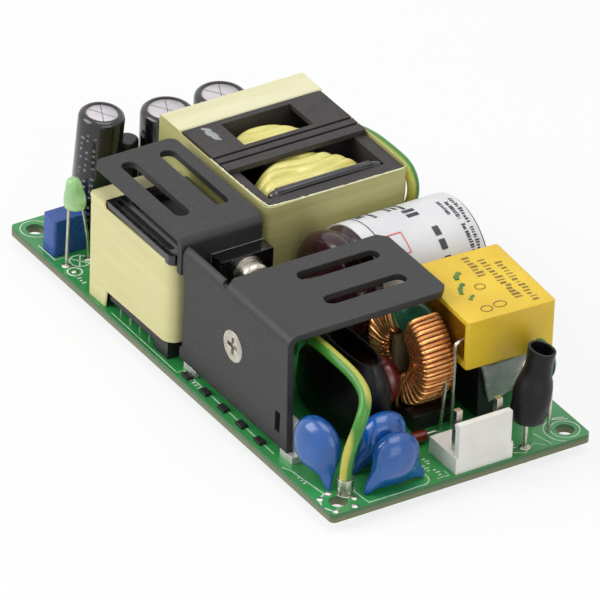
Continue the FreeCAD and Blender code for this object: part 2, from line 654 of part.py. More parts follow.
def transistors():
    primary = transistor_case("primary_transistor")
    turn = FreeCAD.Rotation(FreeCAD.Vector(0, 0, 1), 90)
    primary_case_x = primary_screw_x + d.case_wide / 2
    lift = primary_screw_z - case_hole_z
    move_to(primary, (primary_case_x, primary_inner + d.pad_thick, lift), turn)
    keep_node(primary)
    secondary = transistor_case("secondary_transistor")
    move_to(secondary, (secondary_face + d.pad_thick, secondary_case_y, 0))
    keep_node(secondary)
    low = board_top + d.case_foot
    pads = [
        box(
            "primary_pad",
            (primary_screw_x - d.case_wide / 2, primary_inner, low + lift),
            (d.case_wide, d.pad_thick, d.case_high),
        ),
        box(
            "secondary_pad", (secondary_face, secondary_case_y, low),
            (d.pad_thick, d.case_wide, d.case_high),
        ),
    ]
    holes = [
        cylinder("primary_pad_hole", (primary_screw_x, primary_inner, primary_screw_z), d.screw_radius,
                 d.pad_thick, "y"),
        cylinder("secondary_pad_hole", (secondary_face, secondary_screw_y, case_hole_z), d.screw_radius,
                 d.pad_thick, "x"),
    ]
    drilled = [cut(f"{pad.Name}_drilled", pad, hole) for pad, hole in zip(pads, holes)]
    keep_node(group("insulating_pads", drilled))
    leads = []
    deep = d.case_thick / 2 - d.lead_thick / 2
    for count in (-1, 0, 1):
        shift = count * d.lead_pitch - d.lead_wide / 2
        leads.append(box(
            "primary_lead", (primary_screw_x + shift, primary_inner + d.pad_thick + deep, board_top),
            (d.lead_wide, d.lead_thick, d.case_foot + lift),
        ))
        leads.append(box(
            "secondary_lead", (secondary_face + d.pad_thick + deep, secondary_screw_y + shift, board_top),
            (d.lead_thick, d.lead_wide, d.case_foot),
        ))
    keep_node(group("transistor_leads", leads))


def cross_recess(name, start, radius, deep, axis):
    """Two crossed bars, to cut the recess of a screw's head."""
    x, y, z = start
    long, wide = radius * CROSS_LONG, radius * CROSS_WIDE
    if axis == "y":
        bars = [
            box(f"{name}_bar", (x - long / 2, y, z - wide / 2), (long, deep, wide)),
            box(f"{name}_bar", (x - wide / 2, y, z - long / 2), (wide, deep, long)),
        ]
    else:
        bars = [
            box(f"{name}_bar", (x - deep, y - long / 2, z - wide / 2), (deep, long, wide)),
            box(f"{name}_bar", (x - deep, y - wide / 2, z - long / 2), (deep, wide, long)),
        ]
    return fuse(name, *bars)


def fasteners():
    place = (primary_screw_x, primary_face, primary_screw_z)
    case_top = d.case_thick - d.case_step
    grip = d.sheet_thick + d.pad_thick + case_top + d.nut_high
    head = cone("primary_screw_head", place, d.csk_radius, d.csk_radius - d.csk_deep, d.csk_deep, "y")
    shank = cylinder("primary_screw_shank", place, d.screw_radius, grip, "y")
    recess = cross_recess("primary_recess", place, d.csk_radius, d.csk_deep * CROSS_DEEP, "y")
    keep_node(cut("primary_screw", fuse("primary_screw_blank", head, shank), recess))

    nut = new_body("primary_nut")
    flat = d.nut_across / 2
    point = d.nut_across / math.sqrt(3)
    Drawing(nut, "XZ").outline([
        (point, 0), (point / 2, flat), (-point / 2, flat),
        (-point, 0), (-point / 2, -flat), (point / 2, -flat),
    ]).pad(d.nut_high)
    Drawing(nut, "XZ", d.nut_high).circle(0, 0, d.screw_radius).pocket(d.nut_high)
    nut_y = primary_inner + d.pad_thick + case_top
    move_to(nut, (primary_screw_x, nut_y, primary_screw_z))
    keep_node(nut)

    seat = secondary_face + d.pad_thick + case_top
    washers = []
    for name, start, radius, thick in (
        ("flat_washer", seat, d.washer_radius, d.flat_washer),
        ("spring_washer", seat + d.flat_washer, d.spring_radius, d.spring_washer),
    ):
        disc = cylinder(f"{name}_disc", (start, secondary_screw_y, case_hole_z), radius, thick, "x")
        bore = cylinder(f"{name}_bore", (start, secondary_screw_y, case_hole_z), d.screw_radius, thick, "x")
        washers.append(cut(name, disc, bore))
    keep_node(group("secondary_washers", washers))

    screw = new_body("secondary_screw_blank")
    under = d.flat_washer + d.spring_washer + case_top + d.pad_thick + d.sheet_thick
    Drawing(screw, "XZ").outline([
        (0, -under), (d.screw_radius, -under), (d.screw_radius, 0), (d.pan_radius, 0),
        (d.pan_radius, d.pan_high), (0, d.pan_high),
    ]).revolve()
    round_rims(
        screw, d.pan_high * PAN_ROUND,
        lambda centre, radius: centre.z > float(d.pan_high) - 0.01 and radius > float(d.pan_radius) - 0.01,
    )
    head_x = seat + d.flat_washer + d.spring_washer
    move_to(screw, (head_x, secondary_screw_y, case_hole_z), AXIS_TURN["x"])
    top_place = (head_x + d.pan_high, secondary_screw_y, case_hole_z)
    recess = cross_recess("secondary_recess", top_place, d.pan_radius, d.pan_high * CROSS_DEEP, "x")
    keep_node(cut("secondary_screw", screw, recess))


def tape_shell(name, corner, sizes, radius):
    """A thin rounded box without a floor, as tape lies round a block. Its top is closed."""
    piece = new_body(name)
    x, y, z = corner
    long, wide, high = sizes
    tape = d.tape_thick
    Drawing(piece, "XY", z).rectangle(x, y, long, wide).pad(high)
    inner, inner_sizes = (x + tape, y + tape), (long - 2 * tape, wide - 2 * tape)
    Drawing(piece, "XY", z + high - tape).rectangle(*inner, *inner_sizes).pocket(high - tape)
    round_edges(piece, radius - tape, "z", *corners_of(inner, inner_sizes))
    round_edges(piece, radius, "z", *corners_of((x, y), (long, wide)))
    return piece


def choke_tape():
    foot = board_top + d.choke_tape_foot
    top = board_top + d.choke_tape_high
    tape = d.tape_thick
    piece = tape_shell(
        "choke_tape", (choke_x, choke_y, board_top),
        (d.choke_long, d.choke_wide, d.choke_tape_high + tape), d.choke_corner,
    )
    Drawing(piece, "XY", top + tape).rectangle(
        choke_x + d.choke_fold, choke_y, d.choke_long - d.choke_fold, d.choke_wide
    ).pocket(tape)
    Drawing(piece, "XY", foot).rectangle(
        choke_x + d.choke_skirt, choke_y, d.choke_long - d.choke_skirt, d.choke_wide
    ).pocket(d.choke_tape_foot)
    keep_node(piece)


def choke_core():
    """A ferrite box with a well for the winding."""
    piece = new_body("choke_core")
    tape = d.tape_thick
    low = board_top + d.choke_tape_foot
    high = d.choke_high - d.bobbin_deep - d.choke_tape_foot
    x, y = choke_x + tape, choke_y + tape
    long, wide = d.choke_long - 2 * tape, d.choke_wide - 2 * tape
    Drawing(piece, "XY", low).rectangle(x, y, long, wide).pad(high)
    round_edges(piece, d.choke_corner - tape, "z")
    well = Drawing(piece, "XY", low + high)
    well.rectangle(
        x + d.choke_end, y + d.choke_wall, long - 2 * d.choke_end, wide - 2 * d.choke_wall
    )
    well.pocket(high - d.choke_end)
    keep_node(piece)


def choke_winding():
    piece = new_body("choke_winding")
    tape = d.tape_thick
    low = board_top + d.choke_tape_foot + d.choke_end
    high = d.choke_high - d.winding_drop - d.choke_tape_foot - d.choke_end
    side, end = tape + d.choke_wall + d.winding_play, tape + d.choke_end + d.winding_play
    long, wide = d.choke_long - 2 * end, d.choke_wide - 2 * side
    Drawing(piece, "XY", low).rectangle(choke_x + end, choke_y + side, long, wide).pad(high)
    round_edges(piece, wide * WINDING_ROUND, "z")
    doc.recompute()
    names = [
        f"Edge{number}"
        for number, edge in enumerate(piece.Tip.Shape.Edges, start=1)
        if abs(edge.CenterOfMass.z - float(low + high)) < 0.01
    ]
    dress(piece, "Fillet", d.winding_edge, names)
    keep_node(piece)


def choke_bobbin():
    """The bobbin's top frame with its long groove, its corner feet and the pin rail."""
    piece = new_body("choke_bobbin")
    tape = d.tape_thick
    low = board_top + d.choke_high - d.bobbin_deep
    top = board_top + d.choke_high
    left = choke_x + d.choke_fold
    right = choke_end - tape
    front, back = choke_y + tape, choke_back - tape
    Drawing(piece, "XY", low).rectangle(left, front, right - left, back - front).pad(top - low)
    round_edges(piece, d.choke_corner - tape, "z", (right, front, None), (right, back, None))
    Drawing(piece, "XY", top).rectangle(
        left + d.choke_end, front + d.choke_wall, right - left - 2 * d.choke_end,
        back - front - 2 * d.choke_wall,
    ).pocket(top - low)
    groove = Drawing(piece, "XY", top)
    groove.rectangle(
        left + d.choke_groove, front + d.choke_groove, right - left - 3 * d.choke_groove, d.choke_groove
    )
    groove.pocket(d.choke_groove_deep)
    keep_node(piece)


def choke_pin_places():
    """Two rows, shared out along the rail between the skirt of tape and the feet."""
    tape = d.tape_thick
    start = choke_x + d.choke_skirt + tape
    pitch = (choke_end - tape - d.choke_foot_long - start) / (d.choke_pin_count + 1)
    places = []
    for count in range(1, int(float(d.choke_pin_count)) + 1):
        for y in (choke_y + tape + d.choke_pin_side, choke_back - tape - d.choke_pin_side):
            places.append((start + count * pitch, y))
    return places


def choke_base():
    """Feet in the corners, with a rail between them that carries the pins."""
    tape = d.tape_thick
    front, back = choke_y + tape, choke_back - tape
    start = choke_x + d.choke_skirt + tape
    right = choke_end - tape
    feet = []
    for y in (front, back - d.choke_wall):
        feet.append(box(
            "choke_foot", (right - d.choke_foot_long, y, board_top),
            (d.choke_foot_long, d.choke_wall, d.choke_tape_foot),
        ))
    rail_z = board_top + d.choke_tape_foot / 2
    rail = box("choke_rail", (start, front, rail_z), (right - start, back - front, d.choke_tape_foot / 2))
    keep_node(fuse("choke_base", rail, *feet))
    pins = []
    for x, y in choke_pin_places():
        pins.append(cylinder("choke_pin", (x, y, board_top), d.wire_lead / 2, d.choke_tape_foot / 2))
    keep_node(group("choke_pins", pins))


# The main transformer: a ferrite frame round a wound bobbin, open at the top.
block_low = board_top + d.block_base
winding_x = block_x + d.winding_side
winding_y = block_y + d.block_wide / 2


def transformer_base():
    tape = d.tape_thick
    plate = box(
        "transformer_floor", (block_x + tape, block_y + tape, board_top + d.block_rail_high),
        (d.block_long - 2 * tape, d.block_wide - 2 * tape, d.block_base - d.block_rail_high),
    )
    rails = []
    for y in (block_y + d.block_rail_side, block_back - d.block_rail_side - d.block_wall):
        rails.append(box(
            "transformer_rail", (block_x + d.block_rail_end, y, board_top),
            (d.block_long - 2 * d.block_rail_end, d.block_wall, d.block_rail_high),
        ))
    keep_node(fuse("transformer_base", plate, *rails))


def transformer_core():
    piece = new_body("transformer_core")
    tape = d.tape_thick
    x, y = block_x + tape, block_y + tape
    long, wide = d.block_long - 2 * tape, d.block_wide - 2 * tape
    frame_high = d.block_frame_high - d.block_base
    Drawing(piece, "XY", block_low).rectangle(x, y, long, wide).pad(frame_high)
    Drawing(piece, "XY", block_low + frame_high).rectangle(
        x, y, d.block_fold - tape, wide
    ).pad(d.block_cover_high - tape - d.block_frame_high)
    round_edges(piece, d.block_corner - tape, "z", *corners_of((x, y), (long, wide)))
    well = Drawing(piece, "XY", block_low + frame_high)
    well.rectangle(
        block_x + d.block_end, block_y + d.block_wall,
        d.block_long - d.block_end - d.block_near_end, d.block_wide - 2 * d.block_wall,
    )
    well.pocket(frame_high - d.block_wall)
    leg = Drawing(piece, "XY", block_low + d.block_wall)
    leg.circle(winding_x, winding_y, d.winding_bore - d.winding_play)
    leg.pad(frame_high - d.block_wall - d.leg_drop)
    keep_node(piece)


def transformer_winding():
    piece = new_body("transformer_winding")
    low = block_low + d.block_wall
    high = board_top + d.winding_high
    Drawing(piece, "XY", low).circle(winding_x, winding_y, d.winding_radius).pad(high - low)
    round_rims(piece, d.winding_crown, lambda centre, radius: centre.z > float(high) - 0.01)
    Drawing(piece, "XY", high).circle(winding_x, winding_y, d.winding_bore).pocket(high - low)
    keep_node(piece)


def transformer_cover():
    """A black plate over half the core, with a window and ridges along Y, and the bobbin's wall."""
    piece = new_body("transformer_plate")
    tape = d.tape_thick
    low = board_top + d.block_frame_high
    top = board_top + d.block_cover_high
    left = block_x + d.block_fold
    front, wide = block_y + tape, d.block_wide - 2 * tape
    Drawing(piece, "XY", low).rectangle(left, front, d.cover_long, wide).pad(top - low)
    window_left = block_x + d.block_end
    Drawing(piece, "XY", top).rectangle(
        window_left, winding_y - d.cover_window_wide / 2, d.cover_window, d.cover_window_wide
    ).pocket(top - low)
    grooves = Drawing(piece, "XY", top)
    first = window_left + d.cover_window + d.cover_ridge
    for count in range(2):
        grooves.rectangle(first + 2 * count * d.cover_ridge, front, d.cover_groove, wide)
    grooves.pocket(d.cover_groove_deep)
    wall_x = block_end - d.flange_wall_side
    wall_low = low + d.flange_wall_proud - d.flange_wall_high
    wall = box(
        "bobbin_wall", (wall_x, winding_y - d.flange_wall_wide / 2, wall_low),
        (d.flange_wall, d.flange_wall_wide, d.flange_wall_high),
    )
    keep_node(group("transformer_cover", [piece, wall]))


def transformer_tape():
    tape = d.tape_thick
    fold_top = board_top + d.block_cover_high
    piece = tape_shell(
        "transformer_tape", (block_x, block_y, block_low),
        (d.block_long, d.block_wide, fold_top - block_low), d.block_corner,
    )
    belt_x = block_x + d.block_fold
    open_long = d.block_long - d.block_fold
    Drawing(piece, "XY", fold_top).rectangle(belt_x, block_y, open_long, d.block_wide).pocket(
        d.block_cover_high - d.block_tape_high
    )
    keep_node(piece)


# The bulk capacitor lies on its side, its leads towards the front.
bulk_z = board_top + d.bulk_up


def bulk_capacitor():
    piece = new_body("bulk_capacitor")
    profile = Drawing(piece, "XZ")
    profile.rectangle(0, 0, d.bulk_radius, d.bulk_long)
    profile.revolve()
    round_rims(piece, d.bulk_edge, lambda centre, radius: True)
    crimp = Drawing(piece, "XZ")
    crimp.circle(d.bulk_radius + d.crimp_out, d.crimp_side, d.crimp_radius)
    crimp.revolve("PartDesign::Groove")
    move_to(piece, (bulk_x, bulk_lead_face, bulk_z), AXIS_TURN["y"])
    keep_node(piece)
    label_y = bulk_lead_face + d.label_side
    place = (bulk_x, label_y, bulk_z)
    outer = cylinder("label_outer", place, d.bulk_radius + d.label_thick, d.label_long, "y")
    inner = cylinder("label_inner", place, d.bulk_radius, d.label_long, "y")
    keep_node(cut("bulk_label", outer, inner))


# The yellow film capacitor stands on the bridge rectifier and a silicone pad.
film_low = board_top + d.film_up


def film_capacitor():
    piece = new_body("film_capacitor")
    left, front = -d.film_long / 2, -d.film_wide / 2
    Drawing(piece, "XY").rectangle(left, front, d.film_long, d.film_wide).pad(d.film_high)
    round_edges(piece, d.film_edge, "z")
    Drawing(piece, "XZ", front + d.film_recess).rectangle(
        left + d.film_rim, d.film_rim, d.film_long - 2 * d.film_rim, d.film_high - 2 * d.film_rim
    ).pocket(d.film_recess)
    move_to(piece, (film_x, film_y, film_low), FreeCAD.Rotation(FreeCAD.Vector(0, 0, 1), float(d.film_turn)))
    keep_node(piece)


def bridge_and_pad():
    low = board_top + d.bridge_foot
    slab = new_body("bridge_slab")
    end = bridge_x + d.bridge_long
    Drawing(slab, "XZ", bridge_y).outline([
        (bridge_x, low), (end, low), (end, film_low - d.bridge_chamfer),
        (end - d.bridge_chamfer, film_low), (bridge_x, film_low),
    ]).pad(d.bridge_thick)
    legs = []
    for count in range(4):
        lead_x = bridge_x + d.bridge_lead_side + count * d.bridge_lead_pitch
        legs.append(box(
            "bridge_lead", (lead_x, bridge_y + d.bridge_thick / 2, board_top),
            (d.bridge_lead_wide, d.lead_thick, d.bridge_foot),
        ))
    keep_node(group("bridge_rectifier", [slab, *legs]))
    pad = box(
        "silicone_pad",
        (bridge_x + d.silicone_side, bridge_y + d.bridge_thick + d.silicone_gap, board_top),
        (d.silicone_long, d.silicone_wide, d.film_up),
    )
    keep_node(pad)


# The common-mode choke: a green ring across X, wound on both sides.
ring_z = board_top + d.ring_up


def ring_core():
    piece = new_body("ring_core")
    half, edge = d.ring_thick / 2, d.ring_edge
    Drawing(piece, "XZ").outline([
        (d.ring_bore_radius, edge - half), (d.ring_bore_radius + edge, -half),
        (d.ring_radius - edge, -half), (d.ring_radius, edge - half),
        (d.ring_radius, half - edge), (d.ring_radius - edge, half),
        (d.ring_bore_radius + edge, half), (d.ring_bore_radius, half - edge),
    ]).revolve()
    move_to(piece, (ring_x, ring_y, ring_z), AXIS_TURN["y"])
    keep_node(piece)


def ring_winding(name, middle_angle):
    """Turns of wire as closed frames round the core's section, spread round the ring."""
    piece = new_body(name)
    turn = Drawing(piece, "XZ")
    corner = d.ring_edge + d.wire_thick / 2
    turn.outline([
        (wound_bore, corner - wound_half), (wound_bore + corner, -wound_half),
        (wound_radius - corner, -wound_half), (wound_radius, corner - wound_half),
        (wound_radius, wound_half - corner), (wound_radius - corner, wound_half),
        (wound_bore + corner, wound_half), (wound_bore, wound_half - corner),
    ])
    half = d.ring_thick / 2
    turn.outline([
        (d.ring_bore_radius, d.ring_edge - half), (d.ring_bore_radius + d.ring_edge, -half),
        (d.ring_radius - d.ring_edge, -half), (d.ring_radius, d.ring_edge - half),
        (d.ring_radius, half - d.ring_edge), (d.ring_radius - d.ring_edge, half),
        (d.ring_bore_radius + d.ring_edge, half), (d.ring_bore_radius, half - d.ring_edge),
    ])
    first = turn.revolve(angle=d.turn_angle)
    pattern = piece.newObject("PartDesign::PolarPattern", "Turns")
    pattern.Originals = [first]
    pattern.Axis = (origin_part(piece, "Z_Axis"), [""])
    link(pattern, "Angle", (d.turn_count - 1) * d.turn_pitch)
    link(pattern, "Occurrences", d.turn_count)
    piece.Tip = pattern
    spread = float((d.turn_count - 1) * d.turn_pitch + d.turn_angle)
    start = FreeCAD.Rotation(FreeCAD.Vector(0, 0, 1), middle_angle - spread / 2)
    move_to(piece, (ring_x, ring_y, ring_z), AXIS_TURN["y"].multiply(start))
    keep_node(piece)


def ring_supports():
    """A board across the bore keeps the two windings apart, and a cradle carries the ring."""
    reach = Size(
        math.sqrt(d.ring_bore_radius.value ** 2 - (d.separator_thick.value / 2) ** 2),
        "sqrt(Dims.ring_bore_radius^2 - (Dims.separator_thick / 2)^2)",
    )
    separator = box(
        "ring_separator",
        (ring_x - d.separator_thick / 2, ring_y - wound_half - d.separator_proud, ring_z - reach),
        (d.separator_thick, 2 * wound_half + d.separator_proud, 2 * reach),
    )
    keep_node(separator)
    base = new_body("ring_base")
    Drawing(base, "XY", board_top).rectangle(
        ring_x - d.ring_base_long / 2, ring_y - d.ring_base_wide / 2, d.ring_base_long, d.ring_base_wide
    ).pad(d.ring_base_high)
    cradle = Drawing(base, "XZ", ring_y + d.ring_base_wide / 2)
    cradle.circle(ring_x, ring_z, wound_radius + d.cradle_play)
    cradle.pocket(d.ring_base_wide)
    keep_node(base)


def oval(body, long, wide, up, shrink=0):
    """A round-ended outline, as a sketch at one height."""
    drawing = Drawing(body, "XY", up)
    ellipse = Part.Ellipse(
        FreeCAD.Vector(0, 0, 0), float(long / 2 - shrink), float(wide / 2 - shrink)
    )
    drawing.sketch.addGeometry(ellipse, False)
    drawing.sketch.exposeInternalGeometry(0)
    sketch = drawing.sketch
    sketch.addConstraint(Sketcher.Constraint("Coincident", 0, 3, -1, 1))
    sketch.addConstraint(Sketcher.Constraint("Horizontal", 1))
    drawing.hold("DistanceX", (1, 2, 1, 1), long - 2 * as_size(shrink))
    drawing.hold("DistanceY", (2, 2, 2, 1), wide - 2 * as_size(shrink))
    return drawing


def line_choke():
    piece = new_body("choke_sleeve")
    heights = [
        (0, d.sleeve_long, d.sleeve_wide), (d.sleeve_shoulder, d.sleeve_long, d.sleeve_wide),
        (d.sleeve_high, d.sleeve_mouth_long, d.sleeve_mouth_wide),
    ]
    for kind, shrink in (("AdditiveLoft", 0), ("SubtractiveLoft", d.sleeve_wall)):
        sections = [oval(piece, long, wide, up, shrink) for up, long, wide in heights]
        loft = piece.newObject(f"PartDesign::{kind}", kind)
        loft.Profile = sections[0].sketch
        loft.Sections = [section.sketch for section in sections[1:]]
        loft.Ruled = True
    move_to(piece, (sleeve_x, sleeve_y, board_top + d.sleeve_up))
    keep_node(piece)
    coil = new_body("line_choke")
    Drawing(coil, "XZ").rectangle(
        d.coil_bore, -d.coil_thick / 2, d.coil_radius - d.coil_bore, d.coil_thick
    ).revolve()
    coil_z = board_top + d.coil_radius
    move_to(coil, (sleeve_x, sleeve_y, coil_z), AXIS_TURN["y"])
    keep_node(coil)


def lens(name, radius, thick, bevel):
    """A disc with a rim bevelled in two steps, its axis along local Z."""
    piece = new_body(name)
    half = thick / 2
    flat, shoulder, drop = radius - 2 * bevel, radius - bevel / 2, half - bevel * RIM_DROP
    Drawing(piece, "XZ").outline([
        (0, -half), (flat, -half), (shoulder, -drop), (radius, 0), (shoulder, drop), (flat, half), (0, half),
    ]).revolve()
    return piece


def neck(name, foot, disc_centre, radius):
    """A tapered neck of coating, from the board up into the disc."""
    start, end = vector(*foot), vector(*disc_centre)
    heading = end - start
    shape = Part.makeCone(float(d.disc_tip), float(radius), heading.Length, start, heading)
    return shaped(name, shape)


def dipped_disc(name, centre, radius, axis, thick, bevel, pitch):
    """A disc dipped in coating that runs down over both leads."""
    x, y, z = centre
    disc = lens(f"{name}_disc", radius, thick, bevel)
    move_to(disc, centre, AXIS_TURN[axis])
    reach = pitch / 2
    parts = [disc]
    lift = board_top + d.disc_foot
    for side in (-1, 1):
        out, hip_out, hip_z = side * reach, side * radius * HIP_OUT, z - radius * HIP_DOWN
        if axis == "y":
            foot, hip = (x + out, y, lift), (x + hip_out, y, hip_z)
        else:
            foot, hip = (x, y + out, lift), (x, y + hip_out, hip_z)
        parts.append(neck(f"{name}_neck", foot, hip, d.disc_neck))
    keep_node(fuse(name, *parts))


def dipped_discs():
    dipped_disc(
        "y_capacitor_1", (disc_one_x, disc_one_y, board_top + d.disc_one_up),
        d.disc_radius, "y", d.disc_thick, d.disc_bevel, d.disc_lead_pitch,
    )
    dipped_disc(
        "y_capacitor_2", (disc_two_x, disc_two_y, board_top + d.disc_up),
        d.disc_radius, "x", d.disc_thick, d.disc_bevel, d.pair_lead_pitch,
    )
    dipped_disc(
        "y_capacitor_3", (disc_three_x, disc_three_y, board_top + d.disc_up),
        d.big_disc_radius, "x", d.disc_thick, d.disc_bevel, d.pair_lead_pitch,
    )
    dipped_disc(
        "varistor", (varistor_x, varistor_y, board_top + d.varistor_up),
        d.varistor_radius, "y", d.varistor_thick, d.varistor_bevel, d.disc_lead_pitch,
    )


def input_pin_places():
    return [(pin_x, header_y + d.pin_side + count * d.pin_span) for count in range(2)]


def output_pin_places():
    x = output_x + d.output_pin_side + d.pin_square / 2
    first = front_edge + d.output_front + d.output_pitch / 2
    return [(x, first + count * d.output_pitch) for count in range(int(float(d.output_pins)))]


def square_pin(name, holes, place):
    """A pin from the board up, and its hole in the header's base."""
    x, y = (middle - d.pin_square / 2 for middle in place)
    holes.rectangle(x, y, d.pin_square, d.pin_square)
    return box(name, (x, y, board_top), (d.pin_square, d.pin_square, d.pin_high))


def input_header():
    """A base with a lock wall at the board's end, and two of three pins."""
    piece = new_body("input_header")
    top = board_top + d.header_high
    Drawing(piece, "XY", board_top).rectangle(header_x, header_y, d.header_long, d.header_wide).pad(
        d.header_high
    )
    wall_x = header_end - d.wall_thick
    wall_top = board_top + d.wall_high
    Drawing(piece, "XZ", header_y + d.wall_lip).outline([
        (wall_x, top), (header_end, top), (header_end, wall_top), (wall_x, wall_top),
        (wall_x - d.wall_lip, wall_top - d.wall_lip), (wall_x, wall_top - d.wall_lip_high),
    ]).pad(d.header_wide - 2 * d.wall_lip)
    holes = Drawing(piece, "XY", top)
    pins = [square_pin("input_pin", holes, place) for place in input_pin_places()]
    holes.pocket(d.header_high)
    keep_node(piece)
    keep_node(group("input_pins", pins))


def output_header():
    piece = new_body("output_header")
    x, y = output_x, front_edge + d.output_front
    wide = d.output_pins * d.output_pitch
    top = board_top + d.output_high
    Drawing(piece, "XY", board_top).rectangle(x, y, d.output_long, wide).pad(d.output_high)
    wall_top = board_top + d.output_wall_high
    Drawing(piece, "XZ", y + d.wall_lip).outline([
        (x, top), (x + d.output_wall, top), (x + d.output_wall, wall_top - d.wall_lip_high),
        (x + d.output_wall + d.wall_lip, wall_top - d.wall_lip), (x + d.output_wall, wall_top), (x, wall_top),
    ]).pad(wide - 2 * d.wall_lip)
    holes = Drawing(piece, "XY", top)
    pins = [square_pin("output_pin", holes, place) for place in output_pin_places()]
    holes.pocket(d.output_high)
    keep_node(piece)
    keep_node(group("output_pins", pins))


def fuse_and_sleeve():
    """The fuse stands on one lead in an open sleeve that leans back a little."""
    lean = FreeCAD.Rotation(FreeCAD.Vector(1, 0, 0), -float(d.fuse_lean))
    place = (fuse_x, fuse_y, board_top + d.fuse_foot)
    sleeve = new_body("fuse_sleeve")
    outer = [
        (d.fuse_foot_radius, 0), (d.fuse_radius, d.fuse_swell), (d.fuse_radius, d.fuse_waist),
        (d.fuse_mouth_radius, d.fuse_neck), (d.fuse_mouth_radius, d.fuse_long),
    ]
    inner = [(radius - d.fuse_wall, up) for radius, up in reversed(outer)]
    Drawing(sleeve, "XZ").outline(outer + inner).revolve()
    move_to(sleeve, place, lean)
    keep_node(sleeve)
    core = new_body("fuse")
    Drawing(core, "XZ").rectangle(0, d.fuse_core_up, d.fuse_body_radius, d.fuse_core_long).revolve()
    move_to(core, place, lean)
    keep_node(core)


def thermistor():
    piece = lens("thermistor", d.thermistor_radius, d.thermistor_thick, d.disc_bevel)
    move_to(piece, (thermistor_x, thermistor_y, board_top + d.thermistor_up), AXIS_TURN["y"])
    keep_node(piece)


def glass_diode():
    piece = new_body("glass_diode")
    Drawing(piece, "XZ").rectangle(0, -d.diode_long / 2, d.diode_radius, d.diode_long).revolve()
    round_rims(piece, d.diode_edge, lambda centre, radius: True)
    move_to(piece, (diode_x, diode_y, board_top + d.diode_up), AXIS_TURN["y"])
    keep_node(piece)


# The output voltage trimmer, adjusted from its output side.
rotor_y = trimmer_y + d.trimmer_wide / 2
rotor_z = board_top + d.rotor_up


def trimmer():
    piece = new_body("trimmer_body")
    Drawing(piece, "XY", board_top).rectangle(trimmer_x, trimmer_y, d.trimmer_long, d.trimmer_wide).pad(
        d.trimmer_high
    )
    round_edges(piece, d.trimmer_edge, "z")
    Drawing(piece, "YZ", trimmer_x + d.rotor_thick + d.rotor_play).circle(
        rotor_y, rotor_z, d.rotor_radius + d.rotor_play
    ).pocket(d.rotor_thick + d.rotor_play)
    keep_node(piece)
    rotor = new_body("trimmer_rotor")
    Drawing(rotor, "XY").circle(0, 0, d.rotor_radius).pad(d.rotor_thick)
    slot = Drawing(rotor, "XY", d.rotor_thick / 2)
    slot.rectangle(-d.rotor_slot_long / 2, -d.rotor_slot / 2, d.rotor_slot_long, d.rotor_slot)
    slot.pocket(d.rotor_thick / 2)
    upright = AXIS_TURN["x"].multiply(FreeCAD.Rotation(FreeCAD.Vector(0, 0, 1), TRIMMER_SLOT_ANGLE))
    move_to(rotor, (trimmer_x, rotor_y, rotor_z), upright)
    keep_node(rotor)


def indicator_lamp():
    piece = new_body("indicator_lamp")
    Drawing(piece, "XZ").outline([
        (0, 0), (d.lamp_flange_radius, 0), (d.lamp_flange_radius, d.lamp_flange_high),
        (d.lamp_radius, d.lamp_flange_high), (d.lamp_radius, d.lamp_high), (0, d.lamp_high),
    ]).revolve()
    round_rims(piece, d.lamp_dome, lambda centre, radius: centre.z > float(d.lamp_high) - 0.01)
    x, y = far_end + d.lamp_far, front_edge + d.lamp_front
    place = (x, y + d.lamp_pitch / 2, board_top + d.lamp_up)
    move_to(piece, place)
    keep_node(piece)
    leads = [
        box("lamp_lead", (x - d.lamp_lead / 2, y + count * d.lamp_pitch - d.lamp_lead / 2, board_top),
            (d.lamp_lead, d.lamp_lead, d.lamp_up))
        for count in range(2)
    ]
    keep_node(group("lamp_leads", leads))


def electrolytic(name, x, y, radius, high):
    """A sleeved can with a crimp groove near the foot and a shallow bare top."""
    piece = new_body(name)
    rim = radius - d.can_top_margin
    Drawing(piece, "XZ").outline([
        (0, 0), (radius, 0), (radius, high), (rim, high), (rim, high - d.can_top_drop),
        (0, high - d.can_top_drop),
    ]).revolve()
    round_rims(
        piece, d.can_edge,
        lambda centre, rim_radius: rim_radius > float(radius) - 0.01,
    )
    crimp = Drawing(piece, "XZ").circle(radius + d.can_groove_out, d.can_groove_up, d.can_groove)
    crimp.revolve("PartDesign::Groove")
    move_to(piece, (x, y, board_top))
    keep_node(piece)


def output_capacitors():
    electrolytic("output_capacitor_1", can_one_x, can_one_y, d.can_one_radius, d.can_one_high)
    electrolytic("output_capacitor_2", can_two_x, can_two_y, d.can_two_radius, d.can_two_high)
    electrolytic("output_capacitor_3", can_two_x, can_three_y, d.can_three_radius, d.can_two_high)
    rod = new_body("rod_choke")
    Drawing(rod, "XZ").rectangle(0, 0, d.rod_radius, d.rod_high).revolve()
    round_rims(rod, d.rod_edge, lambda centre, radius: centre.z > float(d.rod_edge))
    move_to(rod, (rod_x, rod_y, board_top))
    keep_node(rod)


